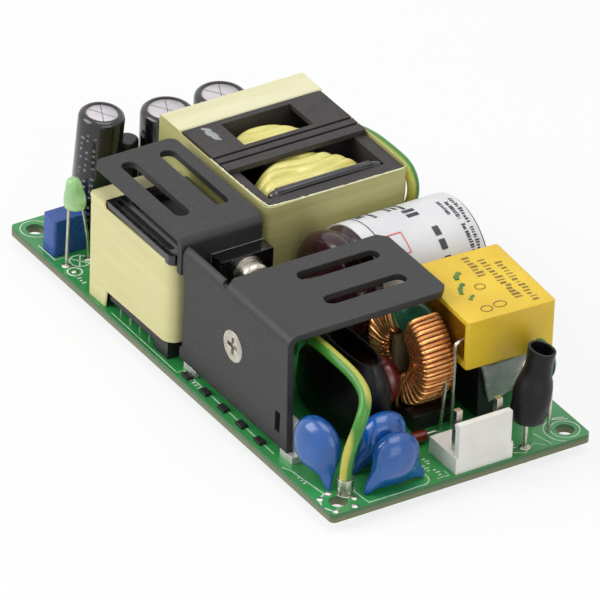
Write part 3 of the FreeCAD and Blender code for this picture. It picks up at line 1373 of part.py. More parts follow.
def earth_wire():
    """From the input end under the primary bracket, past the bulk capacitor and up behind
    the transformer to the far corner. Its route is a list of points chosen by hand."""
    crimp_top = board_top + d.ferrule_high
    start_x, start_y = earth_start
    finish_x, finish_y = earth_finish
    channel = block_end + d.earth_radius + 1.5
    floor = board_top + d.earth_radius + 0.35
    behind = block_back + d.earth_radius + 0.15
    under_x, under_y = primary_end, primary_face
    points = [
        (start_x, start_y, crimp_top), (start_x, start_y, board_top + 7.4),
        (start_x - 1.3, start_y + 4.6, board_top + 14.2), (start_x - 6.1, start_y + 5.2, board_top + 19.0),
        (under_x - 2.0, under_y + 6.3, primary_top - 3.0), (under_x - 8.9, under_y + 6.9, primary_top - 4.3),
        (under_x - 16.7, under_y + 9.9, primary_top - 10.3),
        (under_x - 21.3, under_y + 14.1, primary_top - 18.1),
        (channel + 6.05, under_y + 16.6, floor + 0.3),
        (channel, under_y + 16.9, floor), (channel, under_y + 24.7, floor),
        (channel - 0.2, under_y + 35.7, floor), (channel - 0.5, behind - 0.1, floor + 0.2),
        (block_end - 1.4, behind, block_low + 5.0), (block_end - 1.3, behind, block_low + 12.0),
        (block_end + 0.6, behind, block_low + 17.3), (block_end - 1.4, behind, block_low + 20.7),
        (block_end - 7.0, behind, block_low + 20.9), (block_end - 14.0, behind, block_low + 20.5),
        (block_end - 25.0, behind, block_low + 17.0), (block_x - 1.0, behind, block_low + 10.5),
        (finish_x, finish_y, board_top + 7.9), (finish_x, finish_y, crimp_top),
    ]
    keep_node(shaped("earth_wire", tube(points, d.earth_radius)))
    ends = []
    for x, y in (earth_start, earth_finish):
        ends.append(cylinder("earth_ferrule", (x, y, board_top), d.ferrule_radius, d.ferrule_high))
    keep_node(group("earth_ferrules", ends))


def bulk_lead_places():
    y = bulk_lead_face - d.bulk_lead_out
    return [(bulk_x + side * d.bulk_lead_pitch / 2, y) for side in (-1, 1)]


def bent_leads():
    """Wires that leave a part level and turn down to the board, each as its list of points."""
    wires = []
    for x, y in bulk_lead_places():
        wires.append([(x, bulk_lead_face, bulk_z), (x, y, bulk_z), (x, y, board_top)])
    x = film_x + d.film_lead_side
    y = film_y - d.film_wide / 2 + d.film_recess - d.film_lead_deep
    out, low = y - d.film_lead_out, film_low + d.film_lead_up
    wires.append([(x, y, low + d.film_lead_drop), (x, out, low), (x, out, board_top)])
    level = board_top + d.diode_up
    for side in (-1, 1):
        y, out = diode_y + side * d.diode_long / 2, diode_y + side * d.diode_span / 2
        wires.append([(diode_x, y, level), (diode_x, out, level), (diode_x, out, board_top)])
    return wires


def component_leads():
    """Bare tinned wires of the capacitors, the common-mode choke, fuse, thermistor and diode."""
    radius = d.wire_lead / 2
    pieces = [shaped("bent_lead", tube(points, radius, LEAD_BEND)) for points in bent_leads()]
    side = ring_x + wound_radius + radius
    top = (side, ring_y + d.ring_lead_back, ring_z - d.ring_lead_drop)
    foot = (side, ring_y + d.ring_lead_foot, board_top)
    pieces.append(shaped("ring_lead", straight_rod(top, foot, radius)))
    pieces.append(cylinder("fuse_lead", (fuse_x, fuse_y, board_top), radius, d.fuse_foot))
    high = d.thermistor_up - d.thermistor_radius * THERMISTOR_LEAD_REACH
    for side in (-1, 1):
        place = (thermistor_x + side * d.thermistor_pitch / 2, thermistor_y, board_top)
        pieces.append(cylinder("thermistor_lead", place, radius, high))
    keep_node(group("component_leads", pieces))


def straight_rod(start, end, radius):
    start, end = vector(*start), vector(*end)
    return Part.makeCylinder(float(radius), (end - start).Length, start, end - start)


def solder_cone(x, y):
    """A faceted fillet of solder round a clipped lead, under the board."""
    rings = []
    for radius, z in ((d.joint_radius, 0), (d.joint_tip, -d.joint_high)):
        corners = []
        for step in range(JOINT_SIDES):
            angle = 2 * math.pi * step / JOINT_SIDES
            across, along = float(radius) * math.cos(angle), float(radius) * math.sin(angle)
            corners.append(vector(float(x) + across, float(y) + along, z))
        rings.append(Part.makePolygon(corners + corners[:1]))
    return Part.makeLoft(rings, True, True)


def solder_joints():
    spots = choke_pin_places() + output_pin_places() + input_pin_places() + bulk_lead_places()
    row = d.block_rail_side + d.block_wall / 2
    for count in range(BLOCK_PIN_COUNT):
        x = block_x + d.block_pin_end + count * d.block_pin_pitch
        spots += [(x, block_y + row), (x, block_back - row)]
    for side in (-1, 1):
        spots.append((disc_one_x + side * d.disc_lead_pitch / 2, disc_one_y))
        for row in (-1, 1):
            spots.append((ring_x + side * d.ring_pin_side, ring_y + row * d.ring_pin_row))
        for x, y in ((can_one_x, can_one_y), (can_two_x, can_two_y)):
            spots.append((x + side * d.can_lead_pitch / 2, y))
    spots += [earth_start, earth_finish, (fuse_x, fuse_y)]
    cones = [solder_cone(x, y) for x, y in spots]
    keep_node(shaped("solder_joints", Part.makeCompound(cones)))


def surface_parts():
    """Small chips beside the primary bracket, and chips and packages under the board."""
    pieces = []
    for count in range(TOP_CHIP_COUNT):
        x = primary_x + d.top_chip_side + count * d.top_chip_pitch
        pieces.append(box(
            "top_chip", (x, front_edge + d.top_chip_front, board_top),
            (d.chip_long, d.chip_wide, d.top_chip_high),
        ))
    package_high = 2 * d.chip_high
    for x, y in ((choke_x, block_y), (primary_x, block_y), (bulk_x, choke_y)):
        corner = (x + d.package_long, y + d.package_wide, -package_high)
        pieces.append(box("under_package", corner, (d.package_long, d.package_wide, package_high)))
    for column in range(UNDER_CHIP_COLUMNS):
        for line in range(UNDER_CHIP_ROWS):
            x = secondary_x + d.package_long * 2 + column * d.under_chip_pitch
            y = winding_y + line * d.under_chip_row
            pieces.append(box("under_chip", (x, y, -d.chip_high), (d.chip_long, d.chip_wide, d.chip_high)))
    keep_node(group("surface_parts", pieces))


def check_document():
    doc.recompute()
    for thing in doc.Objects:
        if "Invalid" in thing.State or "Error" in thing.State:
            raise RuntimeError(f"{thing.Label} failed: {thing.State}")
    for piece in nodes:
        if piece.Shape.isNull() or not piece.Shape.isValid() or not piece.Shape.Solids:
            raise RuntimeError(f"{piece.Label} has no sound shape")


circuit_board()
primary_bracket()
primary_legs()
secondary_bracket()
transistors()
fasteners()
choke_tape()
choke_core()
choke_winding()
choke_bobbin()
choke_base()
transformer_base()
transformer_core()
transformer_winding()
transformer_cover()
transformer_tape()
bulk_capacitor()
film_capacitor()
bridge_and_pad()
ring_core()
ring_winding("ring_winding_near", 0)
ring_winding("ring_winding_far", 180)
ring_supports()
line_choke()
dipped_discs()
input_header()
output_header()
fuse_and_sleeve()
thermistor()
glass_diode()
trimmer()
indicator_lamp()
output_capacitors()
earth_wire()
component_leads()
solder_joints()
surface_parts()
check_document()

os.makedirs("parts", exist_ok=True)
for piece in nodes:
    piece.Shape.exportStep(f"parts/{piece.Label}.step")
    print(f"{piece.Label}: {len(piece.Shape.Solids)} solids, {piece.Shape.Volume:.1f} mm3")
print(f"{len(nodes)} nodes")
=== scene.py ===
import math

import bpy
from mathutils import Matrix, Vector, noise


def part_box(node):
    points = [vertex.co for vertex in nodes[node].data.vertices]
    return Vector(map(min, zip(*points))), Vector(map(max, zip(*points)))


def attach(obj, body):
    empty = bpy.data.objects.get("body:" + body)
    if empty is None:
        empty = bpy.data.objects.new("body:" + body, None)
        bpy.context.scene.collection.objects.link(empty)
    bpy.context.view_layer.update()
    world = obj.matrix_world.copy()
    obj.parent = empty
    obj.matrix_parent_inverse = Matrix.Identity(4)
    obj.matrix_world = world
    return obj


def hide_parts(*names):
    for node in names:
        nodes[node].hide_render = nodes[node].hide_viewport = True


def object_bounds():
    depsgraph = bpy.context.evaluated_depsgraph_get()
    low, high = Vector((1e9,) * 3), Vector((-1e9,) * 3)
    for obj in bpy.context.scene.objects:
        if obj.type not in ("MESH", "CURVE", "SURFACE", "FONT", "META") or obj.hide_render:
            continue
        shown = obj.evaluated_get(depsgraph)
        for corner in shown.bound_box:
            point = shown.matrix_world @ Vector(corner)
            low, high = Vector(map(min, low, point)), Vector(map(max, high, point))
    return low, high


scene = bpy.context.scene
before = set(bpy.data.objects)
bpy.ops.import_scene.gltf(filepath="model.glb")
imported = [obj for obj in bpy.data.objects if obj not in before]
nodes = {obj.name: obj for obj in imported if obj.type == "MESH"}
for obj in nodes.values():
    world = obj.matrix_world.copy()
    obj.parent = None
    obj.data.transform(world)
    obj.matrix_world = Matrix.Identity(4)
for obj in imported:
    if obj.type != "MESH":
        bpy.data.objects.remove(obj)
cad_low, cad_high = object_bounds()

MM = 0.001
UP = Vector((0, 0, 1))


def middle_of(node):
    """The middle of a CAD node's box, in millimetres to two places."""
    low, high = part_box(node)
    return Vector([round(value / 2 / MM, 2) for value in low + high])


def end_of(node):
    """The highest corner of a CAD node's box, in millimetres to two places."""
    return Vector([round(value / MM, 2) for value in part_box(node)[1]])


def polar(reach, angle):
    """A point on a circle round the origin."""
    return Vector((math.cos(angle) * reach, math.sin(angle) * reach))


BOARD_TOP = end_of("circuit_board").z
HOLE_INSET = 3.175
HOLE_X = end_of("circuit_board").x - HOLE_INSET
HOLE_Y = end_of("circuit_board").y - HOLE_INSET


# Camera, fitted to the photograph
AZIMUTH, ELEVATION, ROLL = math.radians(56.16), math.radians(32.48), math.radians(2.67)
AIM = Vector((3.84, -2.23, 10.0))
DISTANCE = 1931.29
LENS, SENSOR = 696.23, 36
back = Vector((
    math.sin(AZIMUTH) * math.cos(ELEVATION),
    -math.cos(AZIMUTH) * math.cos(ELEVATION),
    math.sin(ELEVATION),
))
level_right = Vector((math.cos(AZIMUTH), math.sin(AZIMUTH), 0))
level_up = back.cross(level_right)
right = level_right * math.cos(ROLL) + level_up * math.sin(ROLL)
up = level_up * math.cos(ROLL) - level_right * math.sin(ROLL)
camera_data = bpy.data.cameras.new("camera")
camera_data.lens = LENS
camera_data.sensor_width = SENSOR
camera_data.clip_start = 0.1
camera_data.clip_end = 20
camera = bpy.data.objects.new("camera", camera_data)
turn = Matrix((right, up, back)).transposed().to_4x4()
camera.matrix_world = Matrix.Translation((AIM + back * DISTANCE) * MM) @ turn
scene.collection.objects.link(camera)
scene.camera = camera


# Light, in metres and watts
LIT_SPOT = Vector((0, 0, 0.01))


def lamp(name, place, size, power):
    """A square soft lamp that looks at the middle of the object."""
    light = bpy.data.lights.new(name, "AREA")
    light.size = size
    light.energy = power
    holder = bpy.data.objects.new(name, light)
    holder.location = place
    holder.rotation_euler = (LIT_SPOT - Vector(place)).to_track_quat("-Z", "Y").to_euler()
    scene.collection.objects.link(holder)


lamp("key", (-0.30, -0.62, 0.52), 0.55, 4.6)
lamp("top", (0.05, 0.10, 0.85), 0.60, 3.0)
lamp("fill", (0.75, -0.05, 0.28), 0.60, 1.5)


# Shader nodes. Inputs go by name or number, each a number, a colour or another node's output
def fill(tree, node, inputs):
    for name, value in inputs.items():
        if isinstance(value, bpy.types.NodeSocket):
            tree.links.new(value, node.inputs[name])
        else:
            node.inputs[name].default_value = value


def add(tree, kind, inputs, output=0, **settings):
    """One output of a new node."""
    made = tree.nodes.new("ShaderNode" + kind)
    for name, value in settings.items():
        setattr(made, name, value)
    fill(tree, made, inputs)
    return made.outputs[output]


def seen_rays(tree):
    """One for the rays that show the background: straight, mirrored, or through glass."""
    share = add(tree, "LightPath", {}, "Is Camera Ray")
    for kind in ("Is Glossy Ray", "Is Transmission Ray"):
        share = add(tree, "Math", {0: share, 1: add(tree, "LightPath", {}, kind)}, operation="MAXIMUM")
    return share


# A dim world that the rays to the background see as white
world = bpy.data.worlds.new("studio")
world.use_nodes = True
scene.world = world
sky = world.node_tree
sky.nodes.clear()
dim = add(sky, "Background", {"Color": (0.95, 0.97, 1.0, 1), "Strength": 0.42})
white = add(sky, "Background", {"Color": (1, 1, 1, 1), "Strength": 1.0})
both = add(sky, "MixShader", {0: seen_rays(sky), 1: dim, 2: white})
fill(sky, sky.nodes.new("ShaderNodeOutputWorld"), {0: both})


# Materials
UPRIGHT = 0.5
LAMINATE, FOIL = 0.35, 0.75
STRIPE_FROM, STRIPE_FULL = 0.18, 0.55


def linear(value):
    """One channel from 0 to 255 as an amount of light."""
    value /= 255
    return value / 12.92 if value <= 0.04045 else ((value + 0.055) / 1.055) ** 2.4


def tone(rgb):
    return tuple(linear(channel) for channel in rgb) + (1.0,)


def ramp(tree, factor, low, high):
    """A change from one colour to another. Low and high are each a place and a colour."""
    made = tree.nodes.new("ShaderNodeValToRGB")
    for element, (place, colour) in zip(made.color_ramp.elements, (low, high)):
        element.position = place
        element.color = tone(colour)
    fill(tree, made, {"Fac": factor})
    return made.outputs["Color"]


def cut_edge(tree, place, surface, side):
    """Upright faces show the board's layers: one colour below and another at the top."""
    facing = add(tree, "NewGeometry", {}, "True Normal")
    level = add(tree, "Math", {0: add(tree, "SeparateXYZ", {0: facing}, "Z")}, operation="ABSOLUTE")
    upright = add(tree, "Math", {0: level, 1: UPRIGHT}, operation="LESS_THAN")
    height = add(tree, "SeparateXYZ", {0: place}, "Z")
    share = add(tree, "Math", {0: height, 1: 1 / (BOARD_TOP * MM)}, operation="MULTIPLY")
    layers = ramp(tree, share, (LAMINATE, side[0]), (FOIL, side[1]))
    return add(tree, "Mix", {"Factor": upright, "A": surface, "B": layers}, "Result", data_type="RGBA")


def striped(tree, surface, colour):
    """A stripe where the mesh's layer of that name says so."""
    layer = add(tree, "Attribute", {}, "Fac", attribute_name="stripe")
    share = add(tree, "MapRange", {"Value": layer, "From Min": STRIPE_FROM, "From Max": STRIPE_FULL})
    return add(tree, "Mix", {"Factor": share, "A": surface, "B": tone(colour)}, "Result", data_type="RGBA")


def material(name, colour, second, rough=0.5, metal=0.0, patch=200, grain=900, bump=0.3, depth=0.02,
             round_edge=0.0, coat=0.0, coat_rough=0.08, clear=0.0, rough_spread=0.1, stretch=(1, 1, 1),
             glow=0.0, ior=1.5, side=None, stripe=None):
    """A surface with a broad change of colour, and a fine grain in its roughness and bump.
    Upright faces can have colours of their own, and a stripe follows a layer of the mesh."""
    made = bpy.data.materials.new(name)
    made.use_nodes = True
    tree = made.node_tree
    place = add(tree, "TexCoord", {}, "Object")
    stretched = add(tree, "Mapping", {"Vector": place, "Scale": stretch})
    broad = add(tree, "TexNoise", {"Vector": stretched, "Scale": patch, "Detail": 4}, "Fac")
    surface = ramp(tree, broad, (0.32, second), (0.68, colour))
    fine = add(tree, "TexNoise", {"Vector": stretched, "Scale": grain, "Detail": 3}, "Fac")
    if side:
        surface = cut_edge(tree, place, surface, side)
    if stripe:
        surface = striped(tree, surface, stripe)
    roughness = add(tree, "MapRange", {
        "Value": fine, "From Min": 0.3, "From Max": 0.7,
        "To Min": max(0.02, rough - rough_spread), "To Max": min(1.0, rough + rough_spread),
    })
    relief = {"Strength": bump, "Distance": depth * MM, "Height": fine}
    if round_edge:
        relief["Normal"] = add(tree, "Bevel", {"Radius": round_edge * MM}, samples=4)
    shader = tree.nodes["Principled BSDF"]
    fill(tree, shader, {
        "Base Color": surface, "Metallic": metal, "Roughness": roughness, "IOR": ior,
        "Transmission Weight": clear, "Coat Weight": coat, "Coat Roughness": coat_rough,
        "Normal": add(tree, "Bump", relief),
    })
    if glow:
        fill(tree, shader, {"Emission Color": surface, "Emission Strength": glow})
    return made


finish = {}


def paint(name, *colours, **settings):
    finish[name] = material(name, *colours, **settings)


paint("board", (54, 156, 80), (36, 122, 58), rough=0.36, patch=60, bump=0.25, depth=0.03, coat=0.3,
      coat_rough=0.15, side=((104, 108, 70), (40, 98, 46)))
paint("bracket", (41, 40, 40), (34, 33, 33), patch=900, grain=2600, bump=0.45, round_edge=0.35,
      rough_spread=0.08)
paint("tinned", (212, 208, 198), (178, 172, 160), rough=0.28, metal=1.0, patch=500, depth=0.04,
      round_edge=0.15)
# The bracket's legs: a paler, less metallic copy of the tinned finish, painted light that keeps them bright
# in the shade under the plate
paint("foot", (216, 216, 212), (190, 190, 184), rough=0.42, metal=0.6, patch=500, depth=0.04,
      round_edge=0.15)
paint("solder", (214, 210, 200), (170, 166, 154), rough=0.32, metal=1.0, patch=700, bump=0.5, depth=0.08,
      round_edge=0.3)
paint("plastic", (30, 28, 30), (22, 20, 22), rough=0.36, grain=1800, bump=0.15, round_edge=0.2)
paint("sleeve", (12, 11, 12), (8, 7, 8), rough=0.4, patch=160, grain=700, bump=0.35, depth=0.08,
      round_edge=0.2, ior=1.36)
paint("gloss", (20, 18, 20), (14, 12, 14), rough=0.18, grain=1200, bump=0.1, round_edge=0.3, coat=0.5)
paint("pad", (150, 152, 150), (128, 130, 128), rough=0.55, patch=260, depth=0.04)
paint("silicone", (206, 210, 206), (176, 182, 178), rough=0.22, patch=240, grain=500, bump=0.4,
      depth=0.12, clear=0.45)
paint("tape", (214, 207, 150), (203, 196, 138), rough=0.36, patch=150, grain=300, depth=0.06,
      stretch=(0.25, 0.25, 3))
paint("fold", (226, 222, 184), (212, 207, 158), rough=0.3, patch=90, grain=300, depth=0.06, coat=0.3,
      coat_rough=0.2, stretch=(2.5, 0.25, 1))
# The tape on the transformer's sides: a darker, olive copy of the tape, partly its own tone over the dark
# core and partly painted shade
paint("wall", (196, 190, 130), (176, 170, 108), rough=0.34, grain=300, depth=0.06,
      stretch=(0.12, 0.12, 3))
paint("dome", (230, 222, 134), (206, 194, 98), rough=0.28, patch=220, grain=500, bump=0.25, depth=0.06,
      coat=0.3, stretch=(3, 0.5, 1))
paint("ferrite", (52, 46, 46), (41, 36, 37), rough=0.58, patch=260, grain=1600, bump=0.4, depth=0.03,
      round_edge=0.25)
paint("maroon", (54, 26, 32), (40, 18, 24), rough=0.22, patch=160, bump=0.15, depth=0.03, coat=0.3,
      ior=1.38)
paint("label", (222, 222, 222), (212, 212, 214), rough=0.4, patch=120, grain=1500, bump=0.1)
paint("film", (232, 197, 50), (218, 180, 40), rough=0.34, patch=110, grain=1400, bump=0.15,
      round_edge=0.3)
# Resin potting in the film capacitor's recess: its own amber, darkened by painted shade
paint("potting_with_painted_shade", (150, 104, 18), (112, 72, 10), rough=0.28, grain=700, bump=0.4, depth=0.08)
paint("green", (52, 116, 84), (38, 94, 64), rough=0.3, patch=180, grain=700, depth=0.05, coat=0.3)
paint("copper", (230, 168, 106), (212, 142, 82), rough=0.27, metal=0.8, patch=150, bump=0.04, depth=0.01,
      rough_spread=0.04)
# A dark layer under each winding: painted shade that shows in the gaps between the turns
paint("painted_shade_between_turns", (52, 28, 14), (34, 18, 9), rough=0.6, patch=500, grain=1200, depth=0.05)
paint("beige", (112, 100, 68), (92, 80, 52), rough=0.55, patch=160, grain=1500, depth=0.03,
      round_edge=0.1)
paint("red", (112, 30, 26), (84, 20, 18), rough=0.3, grain=700, bump=0.2, depth=0.04, coat=0.4)
paint("blue", (22, 90, 166), (17, 73, 143), rough=0.22, patch=110, grain=240, bump=0.35, depth=0.12,
      coat=0.4, coat_rough=0.14, rough_spread=0.06)
paint("nylon", (232, 230, 224), (220, 217, 208), rough=0.42, patch=160, grain=1500, bump=0.15,
      round_edge=0.25)
paint("glass", (220, 235, 230), (189.2, 202.1, 197.8), rough=0.06, patch=120, grain=1500, bump=0.05,
      clear=0.9)
paint("diode", (170, 40, 20), (120, 22, 12), rough=0.08, patch=120, grain=1500, bump=0.05, coat=0.5,
      clear=0.35)
paint("trimmer", (40, 84, 160), (30, 68, 138), rough=0.32, grain=1200, bump=0.15, round_edge=0.3)
# The lens's faint glow in its own colour is painted light
paint("lens", (190, 224, 170), (150, 200, 134), rough=0.14, patch=120, grain=1500, bump=0.05, clear=0.45,
      glow=0.1)
paint("can", (24, 22, 26), (16, 14, 18), rough=0.2, patch=160, bump=0.12, depth=0.03, coat=0.4)
paint("can_top", (212, 206, 210), (194, 188, 192), rough=0.42, metal=0.35, patch=240, grain=1400,
      bump=0.2)
paint("wire", (64, 136, 42), (50, 114, 32), rough=0.32, patch=160, bump=0.2, depth=0.03,
      stripe=(184, 182, 76))
paint("silk", (214, 228, 210), (176, 200, 172), rough=0.6, patch=600, grain=2500, bump=0.2, depth=0.01)
for name, colour, second, patch in (
    ("ink", (44, 42, 50), (58, 56, 64), 900), ("red_ink", (214, 92, 72), (226, 120, 100), 900),
    ("brown_ink", (118, 92, 34), (142, 112, 40), 1600), ("green_ink", (52, 106, 52), (96, 126, 48), 700),
    ("grey_ink", (150, 150, 152), (104, 104, 108), 1800),
):
    paint(name, colour, second, patch=patch, grain=2500, bump=0.1, depth=0.01)


# The CAD nodes that are shown as they are
finish_of = {
    "board": ["circuit_board"],
    "bracket": ["secondary_bracket"],
    "foot": ["primary_bracket_legs"],
    "tinned": ["transistor_leads", "primary_screw", "primary_nut", "secondary_washers",
               "secondary_screw", "choke_pins", "input_pins", "output_pins", "earth_ferrules",
               "component_leads"],
    "solder": ["solder_joints"],
    "plastic": ["choke_base", "transformer_base", "bridge_rectifier", "ring_base", "rod_choke",
                "surface_parts"],
    "gloss": ["primary_transistor", "secondary_transistor", "choke_bobbin"],
    "pad": ["insulating_pads", "silicone_pad"],
    "tape": ["choke_winding"],
    "ferrite": ["transformer_core", "transformer_cover"],
    "film": ["film_capacitor"],
    "green": ["thermistor"],
    "copper": ["line_choke"],
    "beige": ["ring_separator"],
    "nylon": ["input_header", "output_header"],
    "glass": ["fuse"],
    "diode": ["glass_diode"],
    "trimmer": ["trimmer_body", "trimmer_rotor"],
}
for look, names in finish_of.items():
    for name in names:
        mesh = nodes[name].data
        mesh.materials.clear()
        mesh.materials.append(finish[look])


# Making pieces
CURVE_ORDER = 3


def piece(name, mesh, look, body="board", replaces=(), smooth=35):
    """A mesh in millimetres becomes a piece of the object."""
    mesh.name = name
    mesh.transform(Matrix.Scale(MM, 4))
    mesh.materials.append(finish[look])
    if smooth:
        mesh.shade_smooth()
        mesh.set_sharp_from_angle(angle=math.radians(smooth))
    made = bpy.data.objects.new(name, mesh)
    scene.collection.objects.link(made)
    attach(made, body)
    if replaces:
        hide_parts(*replaces)


def mesh_of(verts, faces):
    mesh = bpy.data.meshes.new("mesh")
    mesh.from_pydata(verts, [], faces)
    return mesh


def smooth_line(points, steps, closed=False):
    """The points that a smooth curve with these control points passes."""
    curve = bpy.data.curves.new("line", "CURVE")
    curve.dimensions = "3D"
    curve.resolution_u = steps
    spline = curve.splines.new("NURBS")
    spline.points.add(len(points) - 1)
    for target, point in zip(spline.points, points):
        target.co = (*point, 1)
    spline.use_cyclic_u = closed
    spline.order_u = CURVE_ORDER
    spline.use_endpoint_u = not closed
    holder = bpy.data.objects.new("line", curve)
    mesh = bpy.data.meshes.new_from_object(holder)
    line = [vertex.co.copy() for vertex in mesh.vertices]
    bpy.data.objects.remove(holder)
    bpy.data.curves.remove(curve)
    bpy.data.meshes.remove(mesh)
    return line


def tube(line, radius, sides, closed=False, stripe=None):
    """A round tube along a line of points. A layer can say how near a stripe each corner is."""
    count = len(line)
    verts, faces, nearness = [], [], []
    before = side = None
    for i, point in enumerate(line):
        ahead = line[(i + 1) % count] if closed or i < count - 1 else point
        behind = line[i - 1] if closed or i else point
        along = (ahead - behind).normalized()
        if side is None:
            side = along.orthogonal().normalized()
        else:
            side = before.rotation_difference(along) @ side
            side = (side - along * side.dot(along)).normalized()
        before = along
        other = along.cross(side)
        wide = radius(i / max(1, count - 1)) if callable(radius) else radius
        for k in range(sides):
            angle = math.tau * k / sides
            outward = side * math.cos(angle) + other * math.sin(angle)
            verts.append(point + outward * wide)
            if stripe:
                nearness.append(stripe(i / (count - 1), outward))
    for i in range(count if closed else count - 1):
        for k in range(sides):
            a, b = i * sides + k, i * sides + (k + 1) % sides
            c, d = ((i + 1) % count) * sides + (k + 1) % sides, ((i + 1) % count) * sides + k
            faces.append((a, b, c, d))
    if not closed:
        faces.append(tuple(reversed(range(sides))))
        faces.append(tuple((count - 1) * sides + k for k in range(sides)))
    mesh = mesh_of(verts, faces)
    if stripe:
        mesh.attributes.new("stripe", "FLOAT", "POINT").data.foreach_set("value", nearness)
    mesh.validate()
    return mesh


def skin(rows, around=False, back_to_first=False, caps=False):
    """Faces between rows of points, each row as long as the next."""
    wide = len(rows[0])
    verts = [point for row in rows for point in row]
    faces = []
    for i in range(len(rows) if back_to_first else len(rows) - 1):
        after = (i + 1) % len(rows)
        for k in range(wide if around else wide - 1):
            along = (k + 1) % wide
            faces.append((i * wide + k, i * wide + along, after * wide + along, after * wide + k))
    if caps:
        faces.append(tuple(reversed(range(wide))))
        faces.append(tuple((len(rows) - 1) * wide + k for k in range(wide)))
    return mesh_of(verts, faces)


def solid(rows):
    """A skin round rings of points, with both ends filled."""
    return skin(rows, around=True, caps=True)


def joined(meshes):
    """One mesh of several."""
    verts, faces = [], []
    for part in meshes:
        first = len(verts)
        verts += [vertex.co.copy() for vertex in part.vertices]
        faces += [tuple(first + corner for corner in face.vertices) for face in part.polygons]
        bpy.data.meshes.remove(part)
    return mesh_of(verts, faces)


def block(low, high, place):
    """A box between two corners, moved by a matrix."""
    corners = [place @ Vector((x, y, z)) for x in (low[0], high[0]) for y in (low[1], high[1])
               for z in (low[2], high[2])]
    faces = [(0, 1, 3, 2), (4, 6, 7, 5), (0, 4, 5, 1), (2, 3, 7, 6), (0, 2, 6, 4), (1, 5, 7, 3)]
    return mesh_of(corners, faces)


def circle(reach, height, sides, middle=(0.0, 0.0)):
    """A level ring of points."""
    return [Vector((*(Vector(middle) + polar(reach, math.tau * k / sides)), height))
            for k in range(sides)]


def rough_noise(point, scale, amount):
    return noise.noise(Vector(point) * scale) * amount


# The primary bracket: the node's own sheet, its open end a little shorter and slanted
END_FROM = 31
END_CUT, END_SLANT = 0.9, 1.0
SLANT_FROM, SLANT_HIGH = 16, 5


def shorter(spot):
    if spot.x > END_FROM:
        spot.x -= END_CUT + END_SLANT * max(0.0, min(1.0, (spot.z - SLANT_FROM) / SLANT_HIGH))
    return spot


plate = nodes["primary_bracket"]
sheet = mesh_of([shorter(plate.matrix_world @ vertex.co / MM) for vertex in plate.data.vertices],
                [tuple(face.vertices) for face in plate.data.polygons])
piece("bracket_sheet", sheet, "bracket", replaces=["primary_bracket"])


# The common-mode choke: on each side one wire over a dark layer, which is painted shade between the turns,
# round a green core
RING_LIFT = 0.75
RING_CENTRE = middle_of("ring_core") + UP * RING_LIFT
RING_BORE, RING_REACH, RING_HALF = 4.1, 8.75, 2.85
RING_CORNER, RING_BLUNT, RING_CUT = 0.9, 0.25, 0.2
TURNS, TURN_PITCH, TURN_INSET = 27, math.radians(5.35), 0.55
WIRE_RADIUS = 0.36
LAYER_UNDER, CORE_UNDER = -0.12, -0.30
LAYER_STEPS, CORE_STEPS = 24, 72


def ring_section(grow=0.0):
    """What a turn follows, as distances from the ring's axis and to the side, larger by grow."""
    inner, outer, half = RING_BORE - grow, RING_REACH + grow, RING_HALF + grow
    level, blunt = half - RING_CORNER, half - RING_CUT
    return [
        (inner, level), (inner, -level), (inner + RING_BLUNT, -blunt),
        (inner + RING_CORNER, -half), (outer - RING_CORNER, -half), (outer - RING_BLUNT, -blunt),
        (outer, -level), (outer, level), (outer - RING_BLUNT, blunt),
        (outer - RING_CORNER, half), (inner + RING_CORNER, half), (inner + RING_BLUNT, blunt),
    ]


def ring_spot(reach, side, angle):
    across, rise = polar(reach, angle)
    return RING_CENTRE + Vector((across, side, rise))


def winding(side_name, degrees):
    """A winding whose middle lies at an angle round the ring. In the bore, every other turn lies deeper."""
    middle = math.radians(degrees)
    section = ring_section()
    points = []
    for number in range(TURNS):
        for k, (reach, side) in enumerate(section):
            share = number + k / len(section)
            if reach < RING_BORE + RING_CORNER:
                reach -= TURN_INSET * (number % 2)
            loose = rough_noise((share * 3.1, degrees, 0), 1.0, 0.12)
            angle = middle + (share - TURNS / 2) * TURN_PITCH + loose * 0.05
            points.append(ring_spot(reach, side + loose * 0.4, angle))
    start = points[0] + Vector((0, -0.4, -1.2))
    finish_spot = points[-1] + Vector((0, 0.2, 0.6))
    line = smooth_line([start, *points, finish_spot], 3)
    piece(f"ring_turns_{side_name}", tube(line, WIRE_RADIUS, 8), "copper",
          replaces=[f"ring_winding_{side_name}"])
    # The dark layer under the turns, painted shade between them
    rows = []
    for step in range(LAYER_STEPS + 1):
        angle = middle + (step / LAYER_STEPS - 0.5) * (TURNS - 1) * TURN_PITCH
        rows.append([ring_spot(reach, side, angle) for reach, side in ring_section(LAYER_UNDER)])
    piece(f"ring_shade_layer_{side_name}", skin(rows, around=True), "painted_shade_between_turns")


winding("near", -2)
winding("far", 185)
ring_rows = [
    [ring_spot(reach, side, math.tau * step / CORE_STEPS) for reach, side in ring_section(CORE_UNDER)]
    for step in range(CORE_STEPS)
]
piece("ring_body", skin(ring_rows, around=True, back_to_first=True), "green",
      replaces=["ring_core"], smooth=50)
RING_LEAD = [(34.4, 0.6, 13.4), (33.2, 0.1, 11.6), (31.6, -0.5, 7.4), (30.6, -0.2, 4.2), (30.2, 1.0, 1.6)]
piece("ring_lead", tube(smooth_line(RING_LEAD, 6), 0.32, 8), "copper")


